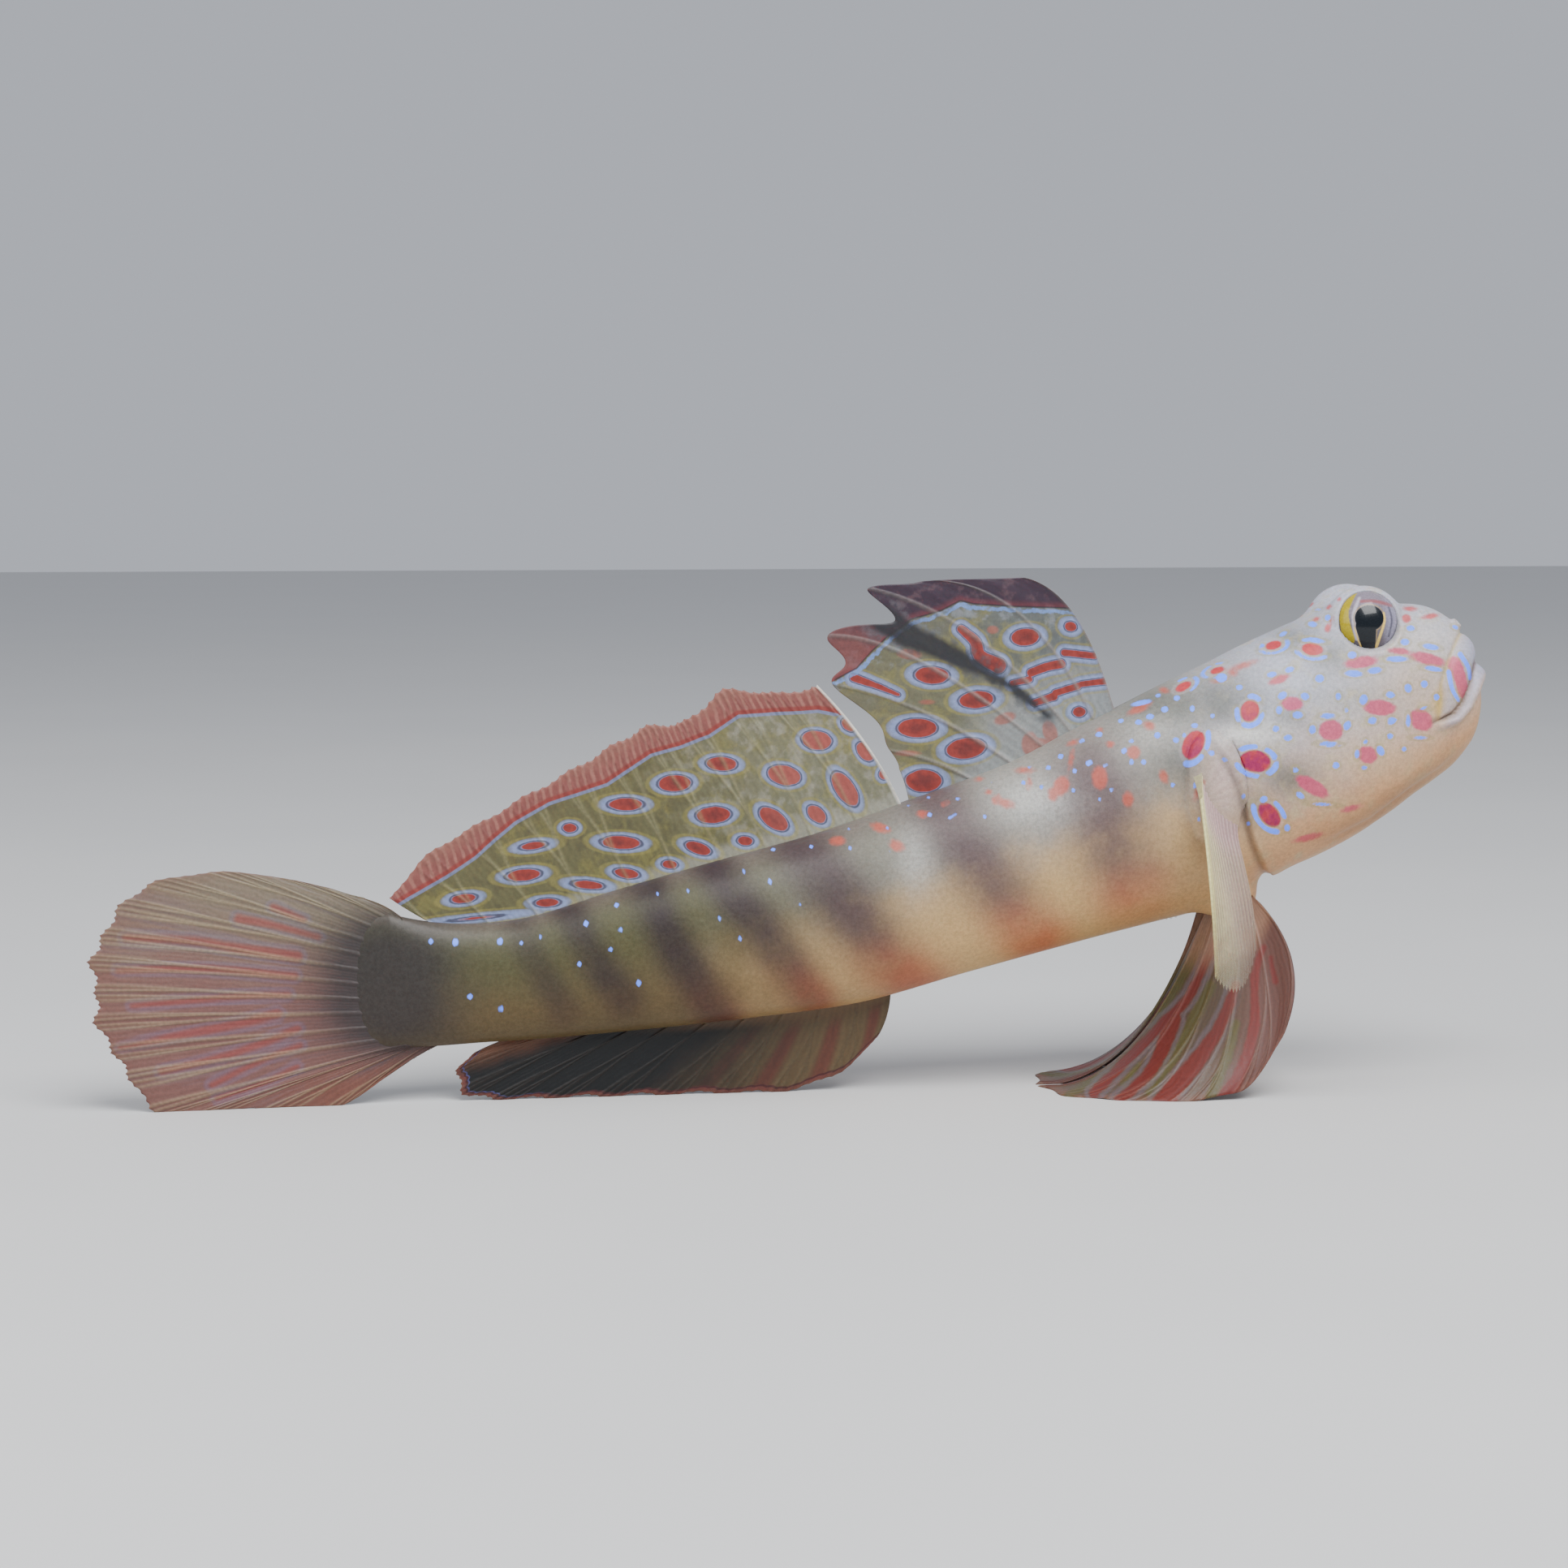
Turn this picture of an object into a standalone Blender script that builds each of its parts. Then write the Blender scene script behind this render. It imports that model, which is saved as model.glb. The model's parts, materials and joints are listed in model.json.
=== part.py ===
"""A pink-spotted watchman goby at life size, resting on its pelvic disc, anal fin and tail fin.

Every length is in millimetres until make_object() turns it into metres. +X runs towards the snout,
+Z is up and the right flank faces -Y. The floor is z = 0, and the origin is on it, under the middle
of the fish. The head is 24 mm long, the body 18 mm deep, and snout to tail tip is 120 mm.
"""

import math

import bmesh
import bpy
import numpy as np
from mathutils.bvhtree import BVHTree

MM = 0.001
GAP = 0.3
FLOOR = 0.0

# One row for each cross-section, snout to tail: the top (x, z), the bottom (x, z), the half width,
# the height of the widest point as a share of the depth, and how square the top and bottom halves are.
SECTIONS = np.array((
    (56.6, 34.9, 56.9, 33.3, 1.0, 0.50, 2.0, 2.0),
    (56.2, 36.3, 57.1, 31.7, 2.4, 0.48, 2.1, 2.1),
    (55.5, 37.7, 56.9, 29.9, 3.5, 0.46, 2.2, 2.2),
    (54.5, 38.9, 56.2, 28.2, 4.3, 0.45, 2.3, 2.3),
    (52.8, 39.8, 54.8, 26.5, 5.0, 0.44, 2.4, 2.3),
    (51.0, 40.1, 53.1, 25.2, 5.5, 0.44, 2.5, 2.3),
    (48.8, 40.1, 51.3, 24.0, 5.9, 0.43, 2.6, 2.3),
    (46.3, 39.9, 49.4, 22.6, 6.2, 0.43, 2.6, 2.3),
    (43.5, 39.4, 47.0, 21.0, 6.5, 0.43, 2.6, 2.2),
    (40.4, 38.15, 44.8, 19.8, 6.7, 0.44, 2.5, 2.2),
    (37.2, 36.75, 42.4, 18.7, 6.8, 0.45, 2.4, 2.2),
    (34.1, 35.25, 40.3, 18.0, 6.8, 0.46, 2.3, 2.2),
    (31.5, 34.1, 38.6, 17.4, 6.7, 0.47, 2.2, 2.2),
    (29.0, 32.9, 36.6, 16.3, 6.5, 0.48, 2.2, 2.2),
    (26.3, 31.6, 33.6, 14.7, 6.3, 0.50, 2.1, 2.2),
    (22.4, 29.8, 29.1, 13.6, 6.1, 0.51, 2.1, 2.2),
    (16.8, 27.0, 23.3, 12.2, 5.7, 0.52, 2.0, 2.2),
    (8.5, 24.0, 13.6, 9.7, 5.1, 0.53, 2.0, 2.1),
    (0.7, 21.4, 4.8, 7.4, 4.6, 0.53, 2.0, 2.1),
    (-7.4, 19.3, -4.1, 6.3, 4.1, 0.53, 2.0, 2.1),
    (-15.5, 17.1, -13.5, 5.5, 3.4, 0.52, 2.0, 2.0),
    (-22.3, 15.1, -21.2, 5.0, 2.8, 0.51, 2.0, 2.0),
    (-26.8, 14.6, -26.4, 4.8, 2.3, 0.50, 2.0, 2.0),
    (-30.7, 14.8, -30.6, 4.6, 1.8, 0.50, 2.0, 2.0),
    (-34.0, 15.5, -34.0, 4.6, 1.1, 0.50, 2.2, 2.2),
))
TOP, BOTTOM, HALF_WIDTH, LEVEL, SQUARE_TOP, SQUARE_LOW = slice(0, 2), slice(2, 4), 4, 5, 6, 7

# Where along SECTIONS the body is parted: the gill cover's edge, and where the anal fin ends.
GILL_SECTION = 12.0
VENT_SECTION = 21.0

# How far apart two rows of SECTIONS lie just behind each of those cuts, so that a gap in
# millimetres can be turned into a share of a row.
GILL_ROW_SPACING = 2.9
VENT_ROW_SPACING = 4.9
LAST_SECTION = len(SECTIONS) - 1.0

# The tail turns towards the right side, from TAIL_TURN_START back.
TAIL_TURN_START = 5.0
TAIL_TURN_LENGTH = 62.0
TAIL_TURN_SIDE = 3.0

EYE_X, EYE_Y, EYE_Z = 46.6, 3.0, 38.8
EYE_TILT = math.radians(10)
EYE_RADIUS = 2.5
EYE_BULGE = 2.2
EYE_BACK = 1.6
ORBIT_RADII = (3.6, 1.6, 3.2)

GILL_FLARE = 0.35

PECTORAL_BASE_CENTRE = (33.4, 5.7, 25.2)
PECTORAL_BASE_RADII = (2.0, 1.5, 4.0)
PELVIC_BASE_CENTRE = (35.4, 1.2, 16.4)
PELVIC_BASE_RADII = (2.6, 1.8, 1.9)

# Half thicknesses of a fin: its membrane, what a ray and the root add to it, and what a margin keeps.
MEMBRANE_HALF = 0.25
RAY_RIDGE = 0.2
FIN_ROOT = 0.3
ROOT_REACH = 0.25
MARGIN_SHARE = 0.75
MARGIN_REACH = 0.3
FIN_SETBACK = GAP + 0.05
PECTORAL_SETBACK = GAP + 0.4
PELVIC_SETBACK = GAP + 0.15
PELVIC_ROOT_WIDTH = 0.9


def signed_power(value, power):
    return np.sign(value) * np.abs(value) ** power


def smooth_rows(rows, at):
    """Catmull-Rom curve through the rows, read at the fractional row numbers in at."""
    rows = np.asarray(rows, float)
    at = np.atleast_1d(np.asarray(at, float))
    last = len(rows) - 1
    first = np.clip(np.floor(at).astype(int), 0, last - 1)
    t = (at - first)[:, None]
    before, start = rows[np.maximum(first - 1, 0)], rows[first]
    end, after = rows[first + 1], rows[np.minimum(first + 2, last)]
    return 0.5 * (
        2 * start
        + (end - before) * t
        + (2 * before - 5 * start + 4 * end - after) * t**2
        + (3 * start - before - 3 * end + after) * t**3
    )


def tail_turn(x):
    """How far the body's mid-line lies towards -Y at x."""
    share = np.clip((TAIL_TURN_START - np.asarray(x, float)) / TAIL_TURN_LENGTH, 0, None)
    return -TAIL_TURN_SIDE * share**2


def on_midline(points_xz, side=0.0):
    """(x, z) points as (x, y, z), on the body's mid-line or off it by side."""
    points_xz = np.asarray(points_xz, float)
    y = tail_turn(points_xz[:, 0]) + side
    return np.stack([points_xz[:, 0], y, points_xz[:, 1]], axis=1)


def line_height(line, x):
    """Height of the body's top or bottom line (columns line of SECTIONS) at x."""
    drawn = smooth_rows(SECTIONS[:, line], np.linspace(0, LAST_SECTION, 400))
    return np.interp(x, drawn[::-1, 0], drawn[::-1, 1])


def along_back(x):
    """Feet of the rays of a fin on the back at each x, FIN_SETBACK above it."""
    return on_midline(np.stack([x, line_height(TOP, x) + FIN_SETBACK], axis=1))


def along_belly(x):
    return on_midline(np.stack([x, line_height(BOTTOM, x) - FIN_SETBACK], axis=1))


def push_out(points, middles, centre, axes, radii, sharpness=9):
    """Points moved out along the line from their section's middle, to the far side of an ellipsoid
    where that is further, with a smooth maximum between the two."""
    out = points - middles
    reach = np.linalg.norm(out, axis=1)
    unit = out / reach[:, None]
    start = (middles - centre) @ axes.T / radii
    step = unit @ axes.T / radii
    a = (step**2).sum(1)
    b = (start * step).sum(1)
    c = (start**2).sum(1) - 1
    inside = b**2 - a * c
    far = np.where(inside > 0, (-b + np.sqrt(np.maximum(inside, 0))) / a, 0)
    far = np.maximum(far, 0)
    grown = (reach**sharpness + far**sharpness) ** (1 / sharpness)
    return middles + unit * grown[:, None]


def eye_axes(side):
    """Rows are the eye's own fore-aft, outward and upward directions, for side -1 (right) or 1."""
    out = np.array((0, side * math.cos(EYE_TILT), math.sin(EYE_TILT)))
    fore = np.array((1.0, 0, 0))
    return np.array((fore, out, np.cross(fore, out)))


def body_rings(start, end, rings, around):
    """Points of the body's skin, as rings from section start to section end, and each one's middle."""
    at = np.linspace(start, end, rings)
    rows = smooth_rows(SECTIONS, at)[:, None, :]
    angle = np.linspace(0, 2 * np.pi, around, endpoint=False)[None, :]
    widest = rows[..., BOTTOM] + (rows[..., TOP] - rows[..., BOTTOM]) * rows[..., LEVEL, None]
    upper = np.cos(angle) > 0
    square = np.where(upper, rows[..., SQUARE_TOP], rows[..., SQUARE_LOW])
    towards = np.where(upper[..., None], rows[..., TOP] - widest, widest - rows[..., BOTTOM])
    height = signed_power(np.cos(angle), 2 / square)[..., None] * towards
    side = signed_power(np.sin(angle), 2 / square) * rows[..., HALF_WIDTH]
    xz = widest + height
    points = np.stack([xz[..., 0], side + tail_turn(widest[..., 0]), xz[..., 1]], axis=-1)
    middle = np.stack([widest[..., 0], tail_turn(widest[..., 0]), widest[..., 1]], axis=-1)
    middle = np.broadcast_to(middle, points.shape)
    return points.reshape(-1, 3), middle.reshape(-1, 3), at


def with_eye_domes(points, middles):
    for side in (-1, 1):
        centre = np.array((EYE_X, side * EYE_Y, EYE_Z))
        points = push_out(points, middles, centre, eye_axes(side), np.array(ORBIT_RADII))
    return points


def with_fin_bases(points, middles):
    """The fleshy lobes that carry the pectoral and pelvic fins."""
    for place, radii in (
        (PECTORAL_BASE_CENTRE, PECTORAL_BASE_RADII),
        (PELVIC_BASE_CENTRE, PELVIC_BASE_RADII),
    ):
        for side in (-1, 1):
            centre = np.array(place) * (1, side, 1)
            points = push_out(points, middles, centre, np.eye(3), np.array(radii))
    return points


def with_gill_flare(points, middles, at, around):
    """The gill cover stands GILL_FLARE proud of the shoulder at its rear edge, least at the top."""
    near_edge = np.clip((at - (GILL_SECTION - 1.2)) / 1.2, 0, 1) ** 2
    angle = np.linspace(0, 2 * np.pi, around, endpoint=False)
    flank = np.sqrt(np.clip((1 - np.cos(angle)) / 2, 0, 1))
    amount = (near_edge[:, None] * flank[None, :]).reshape(-1) * GILL_FLARE
    out = points - middles
    return points + out / np.linalg.norm(out, axis=1)[:, None] * amount[:, None]


def ring_faces(rings, around):
    """Quads between the rings, and one flat face over each end."""
    faces = []
    for ring in range(rings - 1):
        for step in range(around):
            right = (step + 1) % around
            low, high = ring * around, (ring + 1) * around
            faces.append((low + step, low + right, high + right, high + step))
    faces.append(tuple(reversed(range(around))))
    faces.append(tuple(range((rings - 1) * around, rings * around)))
    return faces


def make_material(name, colour, roughness):
    material = bpy.data.materials.new(name)
    material.use_nodes = True
    shader = material.node_tree.nodes["Principled BSDF"]
    shader.inputs["Base Color"].default_value = (*colour, 1)
    shader.inputs["Roughness"].default_value = roughness
    shader.inputs["Metallic"].default_value = 0.0
    return material


def facing_out(mesh):
    edit = bmesh.new()
    edit.from_mesh(mesh)
    bmesh.ops.recalc_face_normals(edit, faces=edit.faces)
    if edit.calc_volume(signed=True) < 0:
        bmesh.ops.reverse_faces(edit, faces=edit.faces)
    edit.to_mesh(mesh)
    edit.free()


def make_object(name, points, faces, material, collection):
    """A named object in metres from points in millimetres."""
    mesh = bpy.data.meshes.new(name)
    mesh.from_pydata((np.asarray(points) * MM).tolist(), [], faces)
    facing_out(mesh)
    mesh.shade_smooth()
    made = bpy.data.objects.new(name, mesh)
    made.data.materials.append(material)
    collection.objects.link(made)
    return made


def surface_tree(points, faces):
    return BVHTree.FromPolygons(np.asarray(points).tolist(), faces)


def underside(tree, x, y):
    """The lowest that a surface reaches between (x, y) and PELVIC_ROOT_WIDTH nearer the mid-line."""
    inner = y - math.copysign(min(PELVIC_ROOT_WIDTH, abs(y)), y)
    return min(tree.ray_cast((x, side, -60.0), (0, 0, 1))[0].z for side in np.linspace(inner, y, 4))


def flank_side(tree, x, z, side):
    """The y where a flank is, seen from its side at (x, z), or 0 past the outline."""
    hit = tree.ray_cast((x, side * 60.0, z), (0, -side, 0))[0]
    return 0.0 if hit is None else hit.y


def make_ellipsoid(name, centre, axes, radii, inner_radius, segments, rings, material, collection):
    """A UV sphere drawn out to radii along the rows of axes, and to inner_radius on its inward side."""
    bpy.ops.mesh.primitive_uv_sphere_add(segments=segments, ring_count=rings, radius=1)
    made = bpy.context.object
    for owner in list(made.users_collection):
        owner.objects.unlink(made)
    collection.objects.link(made)
    made.name = name
    made.data.materials.append(material)
    for vertex in made.data.vertices:
        fore, up, out = vertex.co.x, vertex.co.y, vertex.co.z
        depth = radii[1] if out > 0 else inner_radius
        local = np.array((fore * radii[0], out * depth, up * radii[2]))
        vertex.co = (centre + local @ axes) * MM
    facing_out(made.data)
    made.data.shade_smooth()
    return made


def make_tube(name, path, radii, material, collection):
    """A round bar along the path, closed and joined at its ends."""
    curve = bpy.data.curves.new(name, "CURVE")
    curve.dimensions = "3D"
    curve.bevel_depth = MM
    curve.bevel_resolution = 2
    curve.use_fill_caps = True
    spline = curve.splines.new("POLY")
    spline.points.add(len(path) - 1)
    for point, place, radius in zip(spline.points, path, radii):
        point.co = (*(np.asarray(place) * MM), 1)
        point.radius = radius
    drawn = bpy.data.objects.new(name + "_line", curve)
    collection.objects.link(drawn)
    bpy.context.view_layer.update()
    mesh = bpy.data.meshes.new_from_object(drawn.evaluated_get(bpy.context.evaluated_depsgraph_get()))
    made = bpy.data.objects.new(name, mesh)
    made.matrix_world = drawn.matrix_world
    collection.objects.link(made)
    bpy.data.objects.remove(drawn)
    bpy.data.curves.remove(curve)
    edit = bmesh.new()
    edit.from_mesh(mesh)
    bmesh.ops.remove_doubles(edit, verts=edit.verts, dist=MM * 0.01)
    edit.to_mesh(mesh)
    edit.free()
    facing_out(mesh)
    mesh.materials.clear()
    mesh.materials.append(material)
    return made


def keep_largest_shell(mesh):
    """Drops every loose piece of the mesh but the one with the most faces."""
    edit = bmesh.new()
    edit.from_mesh(mesh)
    left = set(edit.verts)
    shells = []
    while left:
        shell, queue = set(), [left.pop()]
        while queue:
            vertex = queue.pop()
            shell.add(vertex)
            linked = {edge.other_vert(vertex) for edge in vertex.link_edges} & left
            left -= linked
            queue.extend(linked)
        shells.append(shell)
    largest = max(shells, key=len)
    loose = [vertex for shell in shells if shell is not largest for vertex in shell]
    bmesh.ops.delete(edit, geom=loose, context="VERTS")
    edit.to_mesh(mesh)
    edit.free()


def apply_boolean(target, operation, pieces):
    """One Boolean of target with every object of the collection pieces, applied. The pieces are then
    removed."""
    modifier = target.modifiers.new(operation.lower(), "BOOLEAN")
    modifier.operation = operation
    modifier.operand_type = "COLLECTION"
    modifier.collection = pieces
    modifier.solver = "EXACT"
    bpy.context.view_layer.update()
    graph = bpy.context.evaluated_depsgraph_get()
    joined = bpy.data.meshes.new_from_object(target.evaluated_get(graph))
    target.modifiers.clear()
    target.data = joined
    for piece in list(pieces.objects):
        bpy.data.objects.remove(piece)
    bpy.data.collections.remove(pieces)
    keep_largest_shell(target.data)


# The lips' middle lines seen from the side, corner of the mouth to the front of the snout.
UPPER_LIP = ((54.0, 29.7), (54.7, 30.7), (55.2, 32.0), (55.6, 33.4), (55.9, 34.7), (56.2, 35.8))
LOWER_LIP = ((54.0, 28.9), (54.9, 29.5), (55.7, 30.5), (56.4, 31.7), (56.8, 32.8), (57.15, 33.9))
UPPER_LIP_RADIUS = 0.85
LOWER_LIP_RADIUS = 0.6
LIP_SINK = 0.3
LIP_POINTS = 19


def lip_path(tree, line):
    """A line round the snout from one corner of the mouth to the other, LIP_SINK under the skin."""
    seen = smooth_rows(line, np.linspace(0, len(line) - 1, LIP_POINTS // 2 + 1))
    side = []
    for x, z in seen:
        y = flank_side(tree, x - LIP_SINK, z, -1)
        side.append((x, min(y + LIP_SINK, 0.0), z))
    side[-1] = (seen[-1][0], 0.0, seen[-1][1])
    right = np.array(side)
    left = right[:-1][::-1] * (1, -1, 1)
    path = np.concatenate([right, left])
    for _ in range(2):
        path[1:-1] = (path[:-2] + 2 * path[1:-1] + path[2:]) / 4
    return path


def lip_radii(count, radius):
    along = np.linspace(0, 1, count)
    return radius * (0.4 + 0.6 * np.sin(np.pi * along) ** 0.5)


NOSTRIL_FRONT = (54.2, 1.7, 37.9)
NOSTRIL_REAR = (51.6, 2.5, 39.3)
NOSTRIL_RADIUS = 0.45
NOSTRIL_BORE = 0.22
NOSTRIL_LENGTH = 1.5

# How far forwards, in degrees, the bores of the front and rear nostrils lean.
NOSTRIL_LEAN = 35
REAR_NOSTRIL_LEAN = 10


def make_cylinder(name, centre, radius, length, lean, material, collection):
    bpy.ops.mesh.primitive_cylinder_add(
        vertices=10, radius=radius * MM, depth=length * MM, location=np.array(centre) * MM,
        rotation=(0, lean, 0),
    )
    made = bpy.context.object
    for owner in list(made.users_collection):
        owner.objects.unlink(made)
    collection.objects.link(made)
    made.name = name
    made.data.materials.append(material)
    return made


def make_head(skin, parts):
    rings, around = 36, 42
    points, middles, at = body_rings(0.0, GILL_SECTION, rings, around)
    points = with_eye_domes(points, middles)
    points = with_gill_flare(points, middles, at, around)
    faces = ring_faces(rings, around)
    head = make_object("head", points, faces, skin, parts)
    tree = surface_tree(points, faces)

    forms = bpy.data.collections.new("head_forms")
    bpy.context.scene.collection.children.link(forms)
    for name, line, radius in (
        ("upper_lip", UPPER_LIP, UPPER_LIP_RADIUS),
        ("lower_lip", LOWER_LIP, LOWER_LIP_RADIUS),
    ):
        path = lip_path(tree, line)
        make_tube(name, path, lip_radii(len(path), radius), skin, forms)
    for side in (-1, 1):
        centre = np.array(NOSTRIL_FRONT) * (1, side, 1)
        lean = math.radians(NOSTRIL_LEAN)
        make_cylinder(f"nostril_{side}", centre, NOSTRIL_RADIUS, NOSTRIL_LENGTH, lean, skin, forms)
    apply_boolean(head, "UNION", forms)

    hollows = bpy.data.collections.new("head_hollows")
    bpy.context.scene.collection.children.link(hollows)
    for side in (-1, 1):
        centre = np.array((EYE_X, side * EYE_Y, EYE_Z))
        radii = np.array((EYE_RADIUS, EYE_BULGE, EYE_RADIUS)) + GAP
        make_ellipsoid(f"socket_{side}", centre, eye_axes(side), radii, EYE_BACK + GAP, 24, 14, skin, hollows)
        for place, lean in ((NOSTRIL_FRONT, NOSTRIL_LEAN), (NOSTRIL_REAR, REAR_NOSTRIL_LEAN)):
            turn = math.radians(lean)
            top = np.array(place) * (1, side, 1) + (0.5 * math.sin(turn), 0, 0.5)
            make_cylinder(f"bore_{side}_{lean}", top, NOSTRIL_BORE, NOSTRIL_LENGTH, turn, skin, hollows)
    apply_boolean(head, "DIFFERENCE", hollows)
    head.data.shade_smooth()


def make_trunk(skin, parts):
    """The torso, with the fleshy pectoral bases, and the tail stalk. Returns the torso's surface."""
    points, middles, _ = body_rings(GILL_SECTION + GAP / GILL_ROW_SPACING, VENT_SECTION, 24, 36)
    points = with_fin_bases(points, middles)
    faces = ring_faces(24, 36)
    make_object("torso", points, faces, skin, parts)
    tree = surface_tree(points, faces)
    tail_points, _, _ = body_rings(VENT_SECTION + GAP / VENT_ROW_SPACING, LAST_SECTION, 9, 28)
    make_object("tail", tail_points, ring_faces(9, 28), skin, parts)
    return tree


def make_eyes(parts):
    eye = make_material("eye", (0.03, 0.04, 0.05), 0.12)
    for name, side in (("eye_right", -1), ("eye_left", 1)):
        centre = np.array((EYE_X, side * EYE_Y, EYE_Z))
        radii = np.array((EYE_RADIUS, EYE_BULGE, EYE_RADIUS))
        make_ellipsoid(name, centre, eye_axes(side), radii, EYE_BACK, 20, 12, eye, parts)


def fin_grid(roots, bends, tips, columns, rows, notch):
    """Points of a fin's middle sheet, ray by ray. A ray is a quadratic curve from its root to its tip,
    drawn towards its bend. Columns are shares of the way from one ray to the next, and between two
    rays the margin falls short of the tips by the share notch."""
    rays = len(roots)
    at = np.concatenate([ray + np.array(columns) for ray in range(rays - 1)] + [[rays - 1]])
    share = at - np.floor(at)
    root, bend, tip = (smooth_rows(line, at)[:, None, :] for line in (roots, bends, tips))
    short = np.append(np.broadcast_to(notch, rays - 1), 0.0)[np.floor(at).astype(int)]
    reach = 1 - short * np.sin(np.pi * share) ** 2
    v = np.linspace(0, 1, rows)[None, :, None] * reach[:, None, None]
    sheet = (1 - v) ** 2 * root + 2 * v * (1 - v) * bend + v**2 * tip
    return sheet, share < 1e-6, v[..., 0]


def sheet_normals(sheet):
    normal = np.cross(np.gradient(sheet, axis=0), np.gradient(sheet, axis=1))
    return normal / np.maximum(np.linalg.norm(normal, axis=2, keepdims=True), 1e-9)


def half_thickness(v, on_ray):
    """Half the thickness of a fin at the share v of a ray's length. Rays stand proud of the membrane
    and fade towards the margin, and the root is thicker than the rest."""
    half = MEMBRANE_HALF + RAY_RIDGE * on_ray[:, None] * np.sqrt(1 - v)
    half = half + FIN_ROOT * np.clip(1 - v / ROOT_REACH, 0, 1) ** 2
    near_margin = np.clip((v - 1 + MARGIN_REACH) / MARGIN_REACH, 0, 1)
    return half * (1 - (1 - MARGIN_SHARE) * near_margin)


def sheet_faces(columns, rows):
    """Triangles of a closed sheet of columns by rows points a face: both faces split alike, and the rim."""
    total = columns * rows

    def corner(column, row, face):
        return column * rows + row + face * total

    faces = []
    for column in range(columns - 1):
        for row in range(rows - 1):
            for face in (0, 1):
                a, b = corner(column, row, face), corner(column + 1, row, face)
                c, d = corner(column + 1, row + 1, face), corner(column, row + 1, face)
                two = ((a, b, c), (a, c, d))
                faces.extend(two if face == 0 else tuple(triangle[::-1] for triangle in two))
    rim = [(column, 0) for column in range(columns)]
    rim += [(columns - 1, row) for row in range(1, rows)]
    rim += [(column, rows - 1) for column in range(columns - 2, -1, -1)]
    rim += [(0, row) for row in range(rows - 2, 0, -1)]
    for here, there in zip(rim, rim[1:] + rim[:1]):
        a, b = corner(*here, 0), corner(*there, 0)
        c, d = corner(*there, 1), corner(*here, 1)
        faces.extend(((a, c, b), (a, d, c)))
    return faces


def make_fin(name, roots, bends, tips, material, parts, columns=(0, 0.25, 0.75), rows=7, notch=0.0):
    """A fin as one closed sheet, the membrane, with each ray raised on both faces. What would pass the
    floor lies flat on it."""
    sheet, on_ray, v = fin_grid(roots, bends, tips, columns, rows, notch)
    normals = sheet_normals(sheet)
    half = half_thickness(v, on_ray)
    sheet[..., 2] = np.maximum(sheet[..., 2], FLOOR + half * np.abs(normals[..., 2]))
    front = sheet + normals * half[..., None]
    back = sheet - normals * half[..., None]
    points = np.concatenate([front.reshape(-1, 3), back.reshape(-1, 3)])
    points[:, 2] = np.maximum(points[:, 2], FLOOR)
    return make_object(name, points, sheet_faces(*sheet.shape[:2]), material, parts)


def along(line, count):
    """Count points evenly spaced by row number on the smooth curve through the line."""
    return smooth_rows(line, np.linspace(0, len(line) - 1, count))


def middles_with(roots, tips, first, last):
    """Bends of rays: half way from root to tip, moved by (x, z) from first to last across the fin."""
    lean = np.linspace(first, last, len(roots))
    bends = (roots + tips) / 2
    bends[:, 0] += lean[:, 0]
    bends[:, 2] += lean[:, 1]
    return bends


FINE_COLUMNS = (0, 0.2, 0.5, 0.8)

# The six spines of the first dorsal fin, and last the edge that lies along the second dorsal.
FIRST_DORSAL_FEET = (26.2, 24.6, 22.8, 20.6, 18.0, 14.8, 8.95)
FIRST_DORSAL_BENDS = (
    (23.5, 41.3), (19.1, 42.0), (14.6, 39.6), (8.7, 37.9), (10.0, 32.4), (10.9, 27.6), (8.6, 25.4),
)
FIRST_DORSAL_TIPS = (
    (18.4, 42.4), (10.8, 42.2), (5.4, 41.6), (2.0, 37.7), (2.4, 33.7), (7.2, 28.2), (8.0, 26.6),
)
FIRST_DORSAL_NOTCHES = (0.02, 0.06, 0.25, 0.12, 0.12, 0.0)


def make_first_dorsal(material, parts):
    roots = along_back(np.array(FIRST_DORSAL_FEET))
    bends, tips = on_midline(FIRST_DORSAL_BENDS), on_midline(FIRST_DORSAL_TIPS)
    notch = FIRST_DORSAL_NOTCHES
    make_fin("fin_dorsal_first", roots, bends, tips, material, parts, FINE_COLUMNS, rows=9, notch=notch)


SECOND_DORSAL_BASE = (8.4, -28.9)
SECOND_DORSAL_TIPS = (
    (1.1, 33.7), (-2.7, 33.2), (-6.7, 33.5), (-9.9, 31.0), (-13.0, 30.6), (-16.0, 29.0),
    (-19.4, 27.0), (-23.2, 24.9), (-27.2, 22.6), (-31.0, 20.3), (-34.0, 16.8),
)


def make_second_dorsal(material, parts):
    """One spine and ten soft rays, the last laid back over the tail."""
    roots = along_back(np.linspace(*SECOND_DORSAL_BASE, len(SECOND_DORSAL_TIPS)))
    tips = on_midline(SECOND_DORSAL_TIPS)
    bends = middles_with(roots, tips, (1.3, 0.4), (-0.6, 0.1))
    make_fin("fin_dorsal_second", roots, bends, tips, material, parts, notch=0.02)


ANAL_BASE = (7.3, -20.7)
ANAL_TIPS = (
    (6.2, 4.4), (3.2, 1.5), (-1.6, -0.1), (-6.5, -0.1), (-11.5, -0.1), (-16.2, -0.1),
    (-20.7, -0.1), (-25.2, -0.1), (-28.9, 1.2), (-28.7, 3.1),
)


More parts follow.
